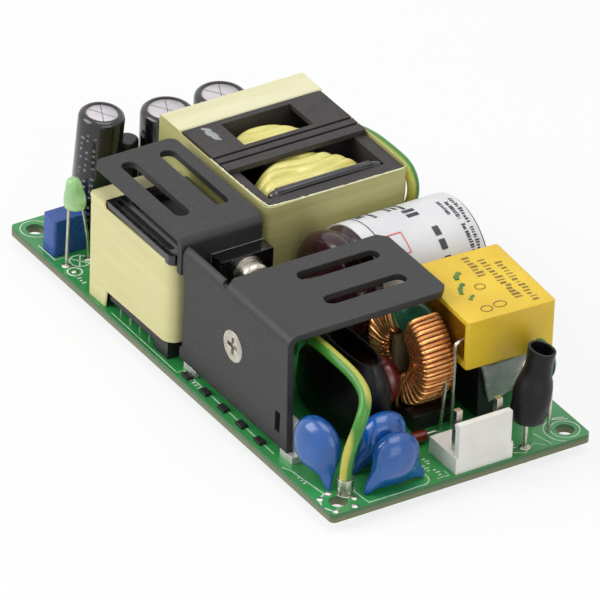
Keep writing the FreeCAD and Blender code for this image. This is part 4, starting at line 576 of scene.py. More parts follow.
# Discs dipped in coating that runs down over both leads, like bells. Outlines are (across, up)
BELL = [
    (0.2, 10.3), (2.4, 9.8), (3.9, 8.5), (4.5, 6.8), (4.7, 5.2), (4.9, 3.8), (5.3, 2.4), (5.9, 1.2),
    (6.1, 0.3), (5.5, 0.0), (4.6, 0.3), (3.4, 0.5), (2.0, 0.4), (0.5, 0.3), (-1.6, 0.4), (-3.4, 0.7),
    (-4.3, 0.4), (-4.9, 0.0), (-5.6, 0.1), (-5.7, 1.1), (-5.1, 2.4), (-4.4, 3.6), (-3.9, 5.0),
    (-3.9, 6.6), (-3.5, 8.4), (-2.0, 9.8),
]
ONE_TAIL = [
    (0.2, 11.3), (2.9, 10.6), (4.6, 9.0), (5.1, 7.2), (5.2, 5.2), (4.9, 3.6), (4.7, 2.2), (4.9, 0.9),
    (5.0, 0.0), (4.4, -0.1), (3.8, 0.6), (3.0, 1.4), (1.2, 1.8), (-0.9, 2.1), (-2.5, 2.7), (-3.7, 3.7),
    (-4.3, 5.0), (-4.5, 6.4), (-4.3, 8.0), (-3.5, 9.6), (-1.9, 10.9),
]
ROUND = [
    (0.0, 11.4), (2.2, 10.9), (3.9, 9.3), (4.4, 7.2), (4.0, 5.1), (2.6, 3.4), (2.4, 1.6), (2.4, 0.1),
    (1.8, 0.1), (1.3, 1.8), (0.0, 2.6), (-1.3, 1.8), (-1.8, 0.1), (-2.4, 0.1), (-2.4, 1.6), (-2.6, 3.4),
    (-4.0, 5.1), (-4.4, 7.2), (-3.9, 9.3), (-2.2, 10.9),
]
DISC_FOOT = BOARD_TOP + 0.02
DISC_STEPS = 13


def dipped(name, node, shift, lateral, outline, look, half=2.3, radius=4.3, web=1.15, kick=0.0):
    """A disc that stands on the board at its node, moved by shift. It is plump in the middle, thin
    as a web beside its leads, and a kick bends its tail."""
    foot = middle_of(node) + Vector((*shift, 0))
    foot.z = DISC_FOOT
    sideways = Vector(lateral).normalized()
    normal = UP.cross(sideways)
    edge = smooth_line([(across, 0, height) for across, height in outline], 5, closed=True)
    middle = max(height for across, height in outline) - radius
    rows = []
    for k in range(-DISC_STEPS, DISC_STEPS + 1):
        inside = max(0.01, math.cos(k / DISC_STEPS * math.pi / 2))
        facing = -1 if k < 0 else 1
        row = []
        for point in edge:
            across, height = point.x * inside, middle + (point.z - middle) * inside
            distance = math.hypot(across, height - middle)
            rim = max(0.0, 1 - inside ** 6) ** 0.5
            plump = half * max(0.0, 1 - (distance / (radius * 1.25)) ** 2.4) * rim
            low = max(0.0, 1 - height / middle)
            thin = web * (1.2 - 0.4 * low) * max(0.0, 1 - inside ** 4) ** 0.5
            thick = math.hypot(plump, thin)
            thick += rough_noise((across, height, foot.x), 0.4, 0.14) * (1 - inside)
            row.append(foot + sideways * across + UP * height
                       + normal * (thick * facing + kick * low ** 1.5))
        rows.append(row)
    piece(name, solid(rows), look, replaces=[node], smooth=60)


dipped("dipped_disc_1", "y_capacitor_1", (-0.4, 0.2), (0.98, 0.2, 0), ONE_TAIL, "blue",
       half=2.4, radius=4.8, kick=-1.4)
dipped("dipped_disc_2", "y_capacitor_2", (0, 0), (0, 1, 0), BELL, "blue")
dipped("dipped_disc_3", "y_capacitor_3", (-0.2, 0), (0, 1, 0), BELL, "blue")
dipped("varistor_disc", "varistor", (-2.0, 0), (1, 0, 0), ROUND, "red", half=2.0)


# Tape round the choke and the transformer
TAPE_THICK, BAND_GAP = 0.3, 0.5
FOLD_ROWS, FOLD_WAVES = 18, 0.06


def rounded_outline(corners, radii, steps=6):
    """The corners of an outline, anticlockwise, each rounded by its own radius."""
    line = []
    count = len(corners)
    for i, corner in enumerate(corners):
        corner = Vector(corner)
        before = (Vector(corners[i - 1]) - corner).normalized()
        after = (Vector(corners[(i + 1) % count]) - corner).normalized()
        reach = radii[i]
        for k in range(steps + 1):
            share = k / steps
            start, end = corner + before * reach, corner + after * reach
            line.append(start * (1 - share) ** 2 + corner * 2 * share * (1 - share) + end * share ** 2)
    return line


def dense(line, gap, closed=True):
    """The same outline with points no further apart than the gap."""
    made = []
    for i, point in enumerate(line if closed else line[:-1]):
        after = line[(i + 1) % len(line)]
        parts = max(1, math.ceil((after - point).length / gap))
        made += [point.lerp(after, k / parts) for k in range(parts)]
    if not closed:
        made.append(line[-1])
    return made


def band(low_corners, high_corners, radii, low, high, waves, rows=10):
    """An upright band from a lower outline to an upper one. Low and high give each point's heights."""
    lower, upper = [], []
    plain_low = rounded_outline(low_corners, radii)
    plain_high = rounded_outline(high_corners, radii)
    for i, point in enumerate(plain_low):
        after = (i + 1) % len(plain_low)
        parts = max(1, math.ceil((plain_low[after] - point).length / BAND_GAP))
        for k in range(parts):
            lower.append(point.lerp(plain_low[after], k / parts).to_3d())
            upper.append(plain_high[i].lerp(plain_high[after], k / parts).to_3d())
    middle = sum(lower, Vector()) / len(lower)
    made = []
    for side in (0, 1):
        for k in range(rows + 1):
            share = k / rows if side == 0 else 1 - k / rows
            row = []
            for start, end in zip(lower, upper):
                spot = start.lerp(end, share)
                bottom, top = low(spot), high(spot)
                spot.z = bottom + (top - bottom) * share
                outward = (spot - middle).xy.normalized().to_3d()
                wave = rough_noise((spot.x, spot.y, spot.z * 2), 0.16, waves)
                row.append(spot + outward * (wave - (TAPE_THICK if side else 0)))
            made.append(row)
    return skin(made, around=True, back_to_first=True)


def fold(profile, low_y, high_y):
    """A strip of tape folded over an end: a line of (x, z) drawn out along Y."""
    line = dense([Vector(point) for point in profile], 1.0, closed=False)
    made = []
    for k in range(FOLD_ROWS + 1):
        row = []
        for point in line:
            y = low_y + (high_y - low_y) * k / FOLD_ROWS
            wave = rough_noise((point.x, y, point.y), 0.2, FOLD_WAVES)
            row.append(Vector((point.x, y, point.y + wave)))
        row += [corner + Vector((TAPE_THICK, 0, -TAPE_THICK)) for corner in reversed(row)]
        made.append(row)
    return solid(made)


# The power factor choke: an upright band with a notch, a fold over its far end, and the core
CHOKE_TOP = 21.2
CHOKE_NOTCH_FROM, CHOKE_FOLD_EDGE = -21.2, -23.0
choke_wall = band(
    [(-26.4, -24.8), (-1.3, -24.5), (-1.7, -8.1), (-26.4, -8.1)],
    [(-27.2, -24.6), (-2.2, -24.2), (-2.2, -8.1), (-27.0, -8.1)],
    [0.7, 2.8, 1.2, 0.7], lambda spot: 1.65 if spot.x < CHOKE_NOTCH_FROM else 4.95,
    lambda spot: CHOKE_TOP if spot.x < CHOKE_FOLD_EDGE else CHOKE_TOP - 0.9, waves=0.05,
)
choke_fold = fold(
    [(-27.2, 20.4), (-27.1, 20.9), (-26.8, CHOKE_TOP), (CHOKE_FOLD_EDGE, CHOKE_TOP + 0.05)],
    -24.5, -8.1,
)
piece("choke_wrap", joined([choke_wall, choke_fold]), "tape", replaces=["choke_tape"])
core_corners = rounded_outline([(-25.9, -23.9), (-2.6, -23.7), (-2.6, -8.6), (-25.9, -8.6)],
                               [0.8, 2.6, 1.0, 0.8])
core_line = dense([point.to_3d() for point in core_corners], 2.0)
core_rows = [[Vector((point.x, point.y, z)) for point in core_line] for z in (4.75, 5.0, 19.7, 19.8)]
piece("choke_block", solid(core_rows), "ferrite", replaces=["choke_core"])


# The transformer's tape, its folded end, its loose upper edge, and a smear of glue on its core
BLOCK_TOP, FOLD_EDGE = 25.95, -29.8
SMEAR_HIGH, SMEAR_FLAT = 25.99, 0.06
block_wall = band(
    [(-36.0, -5.5), (-2.2, -5.5), (-2.2, 22.3), (-36.0, 22.3)],
    [(-36.1, -5.7), (-2.2, -5.5), (-2.2, 22.6), (-36.1, 22.6)],
    [0.35, 1.4, 1.4, 0.6], lambda spot: 3.5,
    lambda spot: 25.0 if spot.x < -35.4 else 25.9 if spot.x < FOLD_EDGE else 25.45, rows=14, waves=0.12,
)
block_fold = fold(
    [(-36.1, 25.0), (-36.05, 25.6), (-35.6, BLOCK_TOP), (FOLD_EDGE, BLOCK_TOP)], -5.6, 22.6
)
# The transformer's sides take the darker copy of the tape, partly painted shade
piece("block_wrap", block_wall, "wall", replaces=["transformer_tape"])
piece("block_fold", block_fold, "fold")
EDGE_LINE = [(-20.0, -5.45, 25.5), (-3.4, -5.4, 25.5), (-2.3, -4.2, 25.5), (-2.2, 21.4, 25.5)]
tape_edge = tube(smooth_line(EDGE_LINE, 40),
                 lambda share: 0.17 + rough_noise((share * 60, 1, 1), 1.0, 0.16), 8)
piece("tape_edge", tape_edge, "fold")


def smear_width(share):
    """Half the smear's width, from nothing much at its ends to its widest in the middle."""
    return 0.25 + 0.5 * math.sin(math.pi * share) ** 0.6 + rough_noise((share * 9, 2, 2), 1.0, 0.2)


SMEAR = [(-28.4, -2.2), (-27.5, -1.1), (-26.7, -1.9), (-25.5, -1.2), (-24.6, -1.7), (-23.9, -0.9)]
smear = tube(smooth_line([(x, y, SMEAR_HIGH) for x, y in SMEAR], 6), smear_width, 10)
for vertex in smear.vertices:
    vertex.co.z = SMEAR_HIGH + (vertex.co.z - SMEAR_HIGH) * SMEAR_FLAT
piece("glue_smear", smear, "silicone")


# The transformer's winding: folded tape that bulges in both windows, and the bobbin's bar
BULGE_STEPS, BULGE_DROP = 60, 3.4


def pleats(x, y, size):
    """The height of the folds in the tape, which run along Y in slow curves."""
    curve = noise.noise(Vector((0.4, y * 0.12, 3.0))) * 2.2
    ridge = abs(math.sin((x + curve) * 1.5)) ** 0.7 - 1
    return ridge * size * (0.4 + abs(noise.noise(Vector((x * 0.6, y * 0.10, 1.0)))) * 1.6)


def bulge(low_x, high_x, middle, long_half, wide_half, top, fold_size, steep):
    """A dome of tape over an oval, cut off at both ends by its range of X."""
    rows = []
    for step in range(BULGE_STEPS + 1):
        x = low_x + (high_x - low_x) * step / BULGE_STEPS
        along = (x - middle[0]) / long_half
        half = wide_half * math.sqrt(max(0.0004, 1 - along ** 2))
        row = []
        for k in range(BULGE_STEPS + 1):
            y = middle[1] + half * math.sin((2 * k / BULGE_STEPS - 1) * math.pi / 2)
            from_rim = (1 - math.hypot(along, (y - middle[1]) / wide_half)) * wide_half
            drop = BULGE_DROP * max(0.0, 1 - from_rim / steep) ** 2
            row.append(Vector((x, y, top - drop + pleats(x, y, fold_size))))
        rows.append(row)
    return skin(rows)


near_bulge = bulge(-18.1, -7.3, (-8.0, 7.9), 10.2, 10.6, 24.8, 0.7, 3.0)
far_bulge = bulge(-28.4, -20.4, (-18.8, 7.5), 9.7, 9.2, 24.4, 0.2, 2.0)
piece("transformer_bulges", joined([near_bulge, far_bulge]), "dome",
      replaces=["transformer_winding"], smooth=55)
BAR_X = -6.65
BAR = [(-1.8, 22.4), (-1.8, 24.0), (-0.8, 24.72), (18.2, 24.72), (19.2, 24.0)]
bar_line = smooth_line([(BAR_X, y, z) for y, z in BAR], 6)
piece("bobbin_bar", tube(bar_line, 0.95, 16), "gloss")


# The bulk capacitor's sleeve and label, round an axis along Y
BULK_MIDDLE = middle_of("bulk_capacitor")
BULK_SIDES = 72
PRINT_REACH, PRINT_THICK = 10.68, 0.02
SLEEVE = [(-0.7, 0.2), (-0.7, 8.0), (-0.55, 8.9), (-0.1, 9.8), (0.8, 10.35), (1.9, 10.45), (2.6, 10.2),
          (3.2, 9.75), (3.8, 9.75), (4.4, 10.2), (4.9, 10.45), (6.0, 10.5), (25.2, 10.5), (25.6, 10.4),
          (25.85, 10.1), (25.9, 9.4), (25.9, 0.2)]
LABEL = [(4.9, 10.48), (4.9, 10.6), (25.0, 10.66), (25.35, 10.6), (25.35, 10.4)]


def bulk_spot(y, reach, angle):
    across, rise = polar(reach, angle)
    return Vector((BULK_MIDDLE.x + across, y, BULK_MIDDLE.z + rise))


def round_bulk(profile):
    """A turned shell from a profile of (place along Y, radius)."""
    rows = [[bulk_spot(y, reach, math.tau * k / BULK_SIDES) for k in range(BULK_SIDES)]
            for y, reach in profile]
    return solid(rows)


def on_bulk(marks):
    """Marks on the label, each from one Y to another and from one angle to another in degrees."""
    meshes = []
    for low_y, high_y, start, end in marks:
        rows = []
        steps = max(2, int(abs(end - start) / 3))
        for k in range(steps + 1):
            angle = math.radians(start + (end - start) * k / steps)
            rows.append([
                bulk_spot(y, PRINT_REACH + out, angle)
                for y, out in ((low_y, 0), (high_y, 0), (high_y, PRINT_THICK), (low_y, PRINT_THICK))
            ])
        meshes.append(solid(rows))
    return joined(meshes)


def ticks(y, start, end, count, share, high, uneven, seed):
    """Plain ticks side by side round the label, each as wide as a share of its place."""
    step = (end - start) / count
    made = []
    for k in range(count):
        wide = share + rough_noise((y, k, seed), 0.9, 0.5)
        top = y + high + rough_noise((k, y, 7), 1.3, uneven)
        made.append((y, top, start + step * k, start + step * (k + wide)))
    return made


piece("bulk_sleeve", round_bulk(SLEEVE), "maroon", replaces=["bulk_capacitor"])
piece("bulk_wrap", round_bulk(LABEL), "label", replaces=["bulk_label"])
label_marks = []
for y, start, end in ((23.9, 96, 60), (23.9, 57, 30), (22.7, 92, 66), (22.7, 62, 34), (21.5, 96, 74)):
    label_marks += ticks(y, start, end, 11, 0.62, 0.62, 0.3, 0.5)
for y, start, end in ((15.7, 124, 100), (14.6, 122, 104), (13.5, 125, 106), (10.2, 128, 100)):
    label_marks += ticks(y, start, end, 6, 0.6, 0.55, 0.0, 2.5)
LABEL_BARS = [(7.3, 7.45, 130, 74), (8.0, 9.5, 122, 119), (8.0, 9.5, 116, 113), (15.0, 17.2, 99, 94),
              (15.0, 17.2, 91, 86), (17.4, 18.6, 68, 58), (17.4, 18.6, 54, 44), (17.4, 18.6, 38, 33)]
LABEL_FRAME = [(8.2, 8.4, 73, 50), (11.7, 11.9, 73, 50), (8.2, 11.9, 73, 71.8), (8.2, 11.9, 51.2, 50)]
piece("label_marks", on_bulk(label_marks + LABEL_BARS), "ink")
piece("label_frame", on_bulk(LABEL_FRAME), "red_ink")


# Marks and potting of the film capacitor, from the middle of its top. The potting's dark amber is partly
# the resin's own colour and partly painted shade in its recess
film_middle = middle_of("film_capacitor")
film_middle.z = end_of("film_capacitor").z
film_place = Matrix.Translation(film_middle) @ Matrix.Rotation(math.radians(-3), 4, "Z")
FILM_ROWS = [(5.6, -4.6, 8.4), (3.4, -6.4, 6.6), (1.2, -8.0, -1.4)]
FILM_PITCH = 0.95
FILM_RINGS = [((6.6, -0.6), 0.85, 1.15), ((6.9, -3.3), 0.85, 1.0), ((0.6, -0.9), 0.8, 0.9)]
RING_SIDES = 28
FILM_SMEARS = [
    [(-4.6, -1.9), (-4.2, -2.6), (-3.6, -3.1), (-2.8, -3.3)],
    [(-1.4, -3.0), (-0.8, -3.8), (0.2, -4.5), (1.4, -4.8)],
    [(2.4, -3.2), (2.8, -3.9), (3.5, -4.4)],
]


def film_tick(x, y):
    """A plain tick on the top, flat and a little uneven."""
    wide = 0.24 + rough_noise((x * 1.7, y, 1), 1.0, 0.2)
    middle = y + rough_noise((x, y, 4), 1.4, 0.35)
    half = 0.62 + rough_noise((x, 3, y), 1.2, 0.3)
    return block((x - wide, middle - half, 0), (x + wide, middle + half, 0.02), film_place)


def film_ring(middle, wide, high):
    """A thin oval line on the top."""
    line = [film_place @ (Vector((*middle, 0)) + spot * Vector((wide, high, 0)))
            for spot in circle(1, 0, RING_SIDES)]
    return tube(line, 0.11, 6, closed=True)


def film_smear(number, spots):
    """A smear of paint that follows a few spots, half sunk in the top."""
    line = smooth_line([(x, y, -0.38) for x, y in spots], 6)
    return tube([film_place @ point for point in line],
                lambda share: 0.62 - 0.05 * number + rough_noise((share * 5, number, 0), 1.0, 0.16), 10)


film_ticks = []
for y, x, end in FILM_ROWS:
    while x < end:
        film_ticks.append(film_tick(x, y))
        x += FILM_PITCH
piece("film_marks", joined(film_ticks), "brown_ink")
piece("film_rings", joined([film_ring(*oval) for oval in FILM_RINGS]), "brown_ink")
film_smears = [film_smear(number, spots) for number, spots in enumerate(FILM_SMEARS)]
piece("film_smears", joined(film_smears), "green_ink")
# The potting in the recess, darkened by painted shade
piece("film_potting", block((-8.75, -7.80, -8.2), (8.75, -7.68, -0.9), film_place), "potting_with_painted_shade")


# Silicone that hangs from the film capacitor to the board, as (high, low) pairs along its width
DRAPE = [((39.6, 10.4, 13.2), (38.7, 12.8, 5.0)), ((39.9, 12.1, 13.2), (38.9, 13.6, 5.6)),
         ((39.9, 14.2, 13.3), (39.1, 14.4, 5.4)), ((39.9, 16.2, 13.3), (39.3, 15.8, 6.2)),
         ((39.8, 18.2, 13.3), (39.3, 17.2, 7.4)), ((39.6, 19.6, 13.3), (39.2, 18.0, 9.4))]
DRAPE_HALF, DRAPE_STEPS = 0.35, 12


def drape_row(high, low, front):
    """A line of points down one face, which nears the other face towards the bottom."""
    row = []
    for k in range(DRAPE_STEPS + 1):
        spot = Vector(high).lerp(Vector(low), k / DRAPE_STEPS)
        spot.x += front * (1 - 0.5 * k / DRAPE_STEPS) + rough_noise((spot.y, spot.z, front), 0.6, 0.35)
        row.append(spot)
    return row


drape_rows = [drape_row(high, low, DRAPE_HALF) for high, low in DRAPE]
drape_rows += [drape_row(high, low, -DRAPE_HALF) for high, low in reversed(DRAPE)]
piece("silicone_drape", skin(drape_rows, back_to_first=True), "silicone", smooth=60)


# Cans with a sleeve, a rim folded over a pale scored top, and plain marks
CAN_SIDES = 56


def can_mark(place, radius, low, high, start, end):
    """A mark on the sleeve, from one height to another and from one angle to another in degrees."""
    steps = max(1, int(abs(end - start) / 6))
    rows = []
    for k in range(steps + 1):
        angle = math.radians(start + (end - start) * k / steps)
        rows.append([
            place @ Vector((*polar(reach, angle), z))
            for reach, z in ((radius + 0.01, low), (radius + 0.01, high), (radius + 0.03, high),
                             (radius + 0.03, low))
        ])
    return solid(rows)


def turned(place, profile):
    """A turned shell from a profile of (height, radius)."""
    return solid([[place @ spot for spot in circle(reach, z, CAN_SIDES)] for z, reach in profile])


def can(name, node, foot, head, radius, top_radius, marks):
    """A can from the middle of its foot to the middle of its head, which may lean."""
    foot, head = Vector(foot), Vector(head)
    high = (head - foot).length
    place = Matrix.Translation(foot) @ UP.rotation_difference(head - foot).to_matrix().to_4x4()
    profile = [(0, 0.1), (0, radius - 0.7), (0.25, radius - 0.15), (0.8, radius), (1.7, radius),
               (2.1, radius - 0.22), (2.6, radius - 0.22), (3.0, radius), (high - 1.1, radius),
               (high - 0.45, radius - 0.18), (high - 0.1, radius - 0.6), (high, radius - 0.95),
               (high - 0.08, top_radius + 0.05), (high - 0.35, top_radius)]
    lid = [(high - 0.34, top_radius + 0.02), (high - 0.26, top_radius - 0.1), (high - 0.24, 0.1)]
    piece(name, turned(place, profile), "can", replaces=[node], smooth=45)
    piece(name + "_top", turned(place, lid), "can_top")
    half = top_radius * 0.92
    scores = [block((-half, -0.05, high - 0.24), (half, 0.05, high - 0.22),
                    place @ Matrix.Rotation(math.radians(angle), 4, "Z")) for angle in (35, 155)]
    piece(name + "_scores", joined(scores), "ink")
    printed = [can_mark(place, radius, *mark) for mark in marks]
    piece(name + "_marks", joined(printed), "grey_ink")


can_marks = []
for start, low, count in ((-84, 6.0, 13), (-66, 3.4, 16), (-48, 4.2, 15)):
    for k in range(count):
        z = low + 1.15 * k + rough_noise((start, k, 1), 0.9, 0.5)
        wide = 8 + rough_noise((start, z, 2), 0.9, 9)
        if k % 5 != 3:
            can_marks.append((z, z + 0.4 + rough_noise((z, 1, start), 1.1, 0.3), start, start + wide))
can("can_1", "output_capacitor_1", (-42.9, -14.3, BOARD_TOP), (-42.1, -13.2, 25.2), 4.0, 2.75, can_marks)
can("can_2", "output_capacitor_2", (-41.0, -0.9, BOARD_TOP), (-41.0, -0.9, 22.9), 4.6, 3.35,
    [(18.3, 19.2, -100, -84), (16.8, 17.6, -98, -86)])
can("can_3", "output_capacitor_3", (-41.0, 9.8, BOARD_TOP), (-41.0, 9.8, 22.8), 4.6, 3.35,
    [(18.3, 19.2, -110, -92)])


# White lines, tinned pads and marks printed on the board
SILK_LOW, SILK_HIGH = BOARD_TOP + 0.02, BOARD_TOP + 0.04


def strip(line, wide):
    """A flat strip along a line of (x, y)."""
    line = [Vector(point) for point in line]
    rows = []
    for i, point in enumerate(line):
        ahead = line[min(i + 1, len(line) - 1)]
        behind = line[max(i - 1, 0)]
        along = (ahead - behind).normalized()
        side = Vector((-along.y, along.x)) * wide / 2
        rows.append([
            (*(point + side * sign), z)
            for sign, z in ((1, SILK_LOW), (-1, SILK_LOW), (-1, SILK_HIGH), (1, SILK_HIGH))
        ])
    return solid(rows)


def arc(middle, reach, start, end, steps=20):
    """Points on part of a circle, between two angles in degrees."""
    return [Vector(middle) + polar(reach, math.radians(start + (end - start) * k / steps))
            for k in range(steps + 1)]


NEAR_HOLE, BACK_HOLE, FAR_HOLE = (HOLE_X, -HOLE_Y), (HOLE_X, HOLE_Y), (-HOLE_X, -HOLE_Y)
LAMP_SPOT, TEST_SPOT = (-35.4, -20.9), (-32.9, -23.4)
SILK_LINES = [
    ([(-19.0, -24.7), (1.6, -24.85)], 0.16), ([(1.9, -24.9), (1.9, -23.5), (30.6, -23.9)], 0.2),
    ([(36.2, -24.1), (44.6, -23.1)], 0.22), ([(34.6, -24.9), (36.2, -24.1)], 0.2),
    ([(44.8, -17.6), (46.4, -18.3), (50.3, -18.0), (50.4, -12.0), (50.3, -7.4)], 0.24),
    (arc((48.4, -7.4), 1.95, 0, 150), 0.24),
    ([(49.9, -4.4), (49.9, -2.1), (48.4, -2.1)], 0.2),
    (arc(NEAR_HOLE, 3.0, 192, 262), 0.3), (arc(NEAR_HOLE, 3.0, 282, 318), 0.3),
    (arc(BACK_HOLE, 2.5, 0, 360, 40), 0.2), (arc(BACK_HOLE, 3.6, 150, 330, 30), 0.2),
    (arc(FAR_HOLE, 2.6, 0, 360, 40), 0.2),
    (arc(LAMP_SPOT, 1.75, 0, 360, 32), 0.28), (arc(TEST_SPOT, 1.25, 0, 360, 32), 0.34),
    ([(-36.8, -20.0), (-34.0, -21.8)], 0.26), ([(-36.6, -21.9), (-34.2, -19.9)], 0.26),
    ([(-37.6, -22.3), (-37.6, -24.4), (-43.0, -24.5)], 0.22),
    ([(49.4, 10.8), (50.4, 12.6), (48.6, 15.4), (50.2, 16.9)], 0.2),
    ([(46.2, 16.9), (50.2, 17.9)], 0.2), ([(44.0, 21.6), (45.2, 24.4)], 0.2),
]
SILK_TICKS = [(45.6, -4.6, 0.75, 3), (47.4, -3.6, 0.8, 4), (38.6, -24.4, 0.9, 3), (43.9, -3.5, 0.7, 3),
              (-31.6, -24.2, 0.8, 4), (5.0, -24.4, 0.9, 4), (46.6, 11.6, 0.8, 3)]
silk = [strip(line, wide) for line, wide in SILK_LINES]
for x, y, pitch, count in SILK_TICKS:
    for k in range(count):
        silk.append(strip([(x + pitch * k, y), (x + pitch * k, y + 0.55 + 0.3 * (k % 2))], 0.3))
piece("silk_lines", joined(silk), "silk", smooth=0)

PAD_DOTS = [(184, 2.7), (141, 2.75), (80, 2.85), (33, 3.0), (-40, 3.1), (230, 3.0)]
DOT_PROFILE = [(0, 0.62), (0.12, 0.6), (0.24, 0.45), (0.3, 0.2), (0.31, 0.03)]
LEAD_PADS = [(46.0, -19.9, 1.5), (-35.3, -23.6, 0.9), (-35.3, -19.2, 0.9), (48.9, 13.5, 1.0),
             (*TEST_SPOT, 0.6)]
PAD_PROFILE = [(0, 1), (0.05, 1), (0.12, 0.7), (0.3, 0.3)]
pads = []
for degrees, reach in PAD_DOTS:
    spot = Vector(NEAR_HOLE) + polar(reach, math.radians(degrees))
    rows = [circle(wide, BOARD_TOP + z, 16, spot) for z, wide in DOT_PROFILE]
    pads.append(solid(rows))
for x, y, wide in LEAD_PADS:
    rows = [circle(wide * share, BOARD_TOP + z, 20, (x, y)) for z, share in PAD_PROFILE]
    pads.append(solid(rows))
piece("board_pads", joined(pads), "solder")


# The line choke's sleeve, wide below and pinched to an open mouth
TUBE_END, TUBE_Y = end_of("choke_sleeve").x, middle_of("choke_sleeve").y
TUBE_NARROW, TUBE_LAG, TUBE_SQUARE = 9.0, 0.45, 0.8
TUBE_SIDES = 64
OUTSIDE = [(2.0, 10.6, 3.6, 0), (2.6, 11.3, 4.2, 0), (4.0, 11.7, 4.5, 0), (7.0, 11.7, 4.5, 0),
           (9.5, 11.4, 4.3, 0), (11.5, 10.8, 3.9, 0), (13.3, 9.8, 3.3, 0), (15.0, 8.6, 2.7, -0.1),
           (16.4, 7.8, 2.4, -0.2), (17.2, 7.6, 2.5, -0.2)]
INSIDE = [(17.25, 7.2, 2.15, -0.2), (16.0, 7.0, 1.9, -0.2), (12.0, 7.6, 2.4, 0), (9.0, 8.4, 3.2, 0)]


def sleeve_ring(z, half_long, half_wide, shift):
    """A rounded rectangle at one height. The sleeve's near end stands upright, up to its shoulder."""
    widest = max(half_long, TUBE_NARROW)
    middle = TUBE_END - widest + TUBE_LAG * (half_long - widest)
    row = []
    for spot in circle(1, 0, TUBE_SIDES):
        across, along = spot.xy
        x = math.copysign(abs(across) ** TUBE_SQUARE, across) * half_long
        y = math.copysign(abs(along) ** TUBE_SQUARE, along) * half_wide
        wave = 1 + rough_noise((across * 1.4, along * 1.4, z * 0.25), 1.0, 0.035)
        row.append(Vector((middle + x * wave, TUBE_Y + shift + y * wave, z)))
    return row


tube_rows = [sleeve_ring(*level) for level in OUTSIDE + INSIDE]
piece("choke_tube", solid(tube_rows), "sleeve", replaces=["choke_sleeve"], smooth=60)


# The lamp, with a flanged foot and a narrower dome that leans a little, and its leads
LAMP_X, LAMP_Y = middle_of("indicator_lamp").xy
LAMP_LEAN, LEAN_FROM = 0.10, 14
LAMP_PROFILE = [(13.0, 0.2), (13.0, 1.75), (13.15, 1.9), (14.2, 1.95), (15.2, 1.85), (15.8, 1.7),
                (16.3, 1.55), (17.0, 1.45), (17.7, 1.32), (18.2, 1.08), (18.55, 0.78), (18.75, 0.4),
                (18.8, 0.05)]
LAMP_LEADS = [
    [(-35.3, -23.6, -0.9), (-35.3, -23.6, 4.0), (-35.3, -23.5, 9.0), (-35.3, -23.5, 13.2)],
    [(-35.3, -19.2, -0.9), (-35.3, -19.2, 3.0), (-35.3, -19.9, 8.0), (-35.3, -20.9, 12.6),
     (-35.3, -21.0, 13.2)],
]
lamp_rows = [circle(reach, z, 32, (LAMP_X, LAMP_Y - LAMP_LEAN * max(0.0, z - LEAN_FROM)))
             for z, reach in LAMP_PROFILE]
piece("lamp_lens", solid(lamp_rows), "lens", replaces=["indicator_lamp"], smooth=50)
lamp_leads = [tube(smooth_line(line, 6), 0.3, 10) for line in LAMP_LEADS]
piece("lamp_wires", joined(lamp_leads), "tinned", replaces=["lamp_leads"])


# The fuse's open sleeve, shrunk to a neck, with its mouth cut aslant
FUSE_FOOT = Vector((48.9, 13.5, 7.0))
FUSE_LEAN = math.radians(9)
FUSE_WALL, FUSE_HIGH, FUSE_SLANT, FUSE_SIDES = 0.42, 13.6, 0.35, 40
FUSE_PROFILE = [(0, 2.5), (0.3, 2.85), (1.2, 3.05), (3.2, 3.25), (5.2, 3.3), (6.6, 3.15), (7.8, 2.8),
                (9.0, 2.5), (10.6, 2.35), (12.2, 2.35), (FUSE_HIGH, 2.4)]
fuse_axis = Vector((0.02, math.sin(FUSE_LEAN), math.cos(FUSE_LEAN)))
fuse_side = Vector((1, 0, 0))
fuse_other = fuse_axis.cross(fuse_side).normalized()


def fuse_ring(rise, reach):
    """A ring of the sleeve, uneven, and higher on one side towards the mouth."""
    row = []
    for spot in circle(1, 0, FUSE_SIDES):
        near = spot.x * 0.8 + spot.y * 0.6
        along = rise - FUSE_SLANT * near * (rise / FUSE_HIGH) ** 3
        wide = reach + rough_noise((spot.x, spot.y, rise * 0.35), 1.3, 0.14)
        row.append(FUSE_FOOT + fuse_axis * along + (fuse_side * spot.x + fuse_other * spot.y) * wide)
    return row


fuse_rows = [fuse_ring(rise, reach) for rise, reach in FUSE_PROFILE]
fuse_rows += [fuse_ring(rise, reach - FUSE_WALL) for rise, reach in reversed(FUSE_PROFILE)]
piece("fuse_tube", skin(fuse_rows, around=True, back_to_first=True), "sleeve",
      replaces=["fuse_sleeve"], smooth=60)


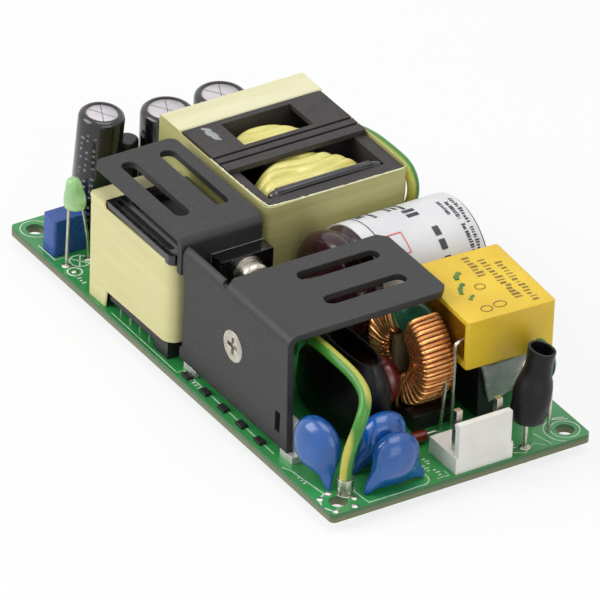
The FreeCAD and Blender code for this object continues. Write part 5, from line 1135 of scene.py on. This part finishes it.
# The ground wire, with its stripe
WIRE_ROUTE = [
    (46, -19.9, 4.6), (46, -19.9, 8.4), (47.2, -18.6, 14.6), (45.6, -16.1, 18.3), (41.2, -15.1, 19.5),
    (35.3, -15.6, 20.4), (29.1, -16.2, 20.9), (23.6, -15.8, 19.4), (17.3, -13.2, 14.4),
    (12.7, -9.0, 6.6), (6.4, -6.5, 3.3), (0.35, -6.2, 3.0), (0.35, 1.6, 3.0), (0.15, 12.6, 3.0),
    (-0.15, 23.4, 3.2), (-3.6, 23.5, 8.5), (-3.5, 23.5, 15.5), (-1.6, 23.5, 20.8), (-3.6, 23.5, 24.2),
    (-9.2, 23.5, 24.4), (-16.2, 23.5, 24.0), (-27.2, 23.5, 20.5), (-37.0, 23.5, 14.0),
    (-44.6, 21.3, 9.5), (-44.6, 21.3, 4.6),
]
WIRE_THICK = 2.1
LOW_FACING = Vector((-0.10, -0.97, -0.20)).normalized()
HIGH_FACING = Vector((-0.05, 0.55, 0.80)).normalized()
STRIPE_TURN, STRIPE_TURN_LONG, STRIPE_LATER, STRIPE_THIN = 0.035, 0.06, 0.6, 0.2


def wire_stripe(share, outward):
    """The stripe lies to the front low down on the first bend, and on top above it and further on."""
    if share >= STRIPE_LATER:
        return outward.x * 0.3 - outward.y * 0.95
    rise = min(1.0, max(0.0, (share - STRIPE_TURN) / STRIPE_TURN_LONG))
    return outward.dot(LOW_FACING) * (1 - rise) + (outward.dot(HIGH_FACING) - STRIPE_THIN) * rise


wire_line = smooth_line(WIRE_ROUTE, 10)
piece("ground_wire", tube(wire_line, WIRE_THICK / 2, 24, stripe=wire_stripe), "wire",
      replaces=["earth_wire"])


# Floor, in metres: pale and matt, and nearly white to the rays that show the background
FLOOR_HALF, FLOOR_GAP = 2, 0.0002
FLOOR_GLOW = 0.8
corners = [(-FLOOR_HALF, -FLOOR_HALF, 0), (FLOOR_HALF, -FLOOR_HALF, 0), (FLOOR_HALF, FLOOR_HALF, 0),
           (-FLOOR_HALF, FLOOR_HALF, 0)]
floor_mesh = bpy.data.meshes.new("floor")
floor_mesh.from_pydata(corners, [], [(0, 1, 2, 3)])
floor = bpy.data.objects.new("floor", floor_mesh)
floor.location = (0, 0, cad_low.z - FLOOR_GAP)
scene.collection.objects.link(floor)
pale = bpy.data.materials.new("pale_floor")
pale.use_nodes = True
ground = pale.node_tree
matt = ground.nodes["Principled BSDF"]
fill(ground, matt, {"Base Color": (0.82, 0.82, 0.82, 1), "Roughness": 0.9, "Specular IOR Level": 0.0})
bright = add(ground, "Emission", {"Strength": 1.0})
share = add(ground, "Math", {0: seen_rays(ground), 1: FLOOR_GLOW}, operation="MULTIPLY")
both = add(ground, "MixShader", {0: share, 1: matt.outputs[0], 2: bright})
fill(ground, ground.nodes["Material Output"], {"Surface": both})
floor_mesh.materials.append(pale)

scene.view_settings.view_transform = "Standard"
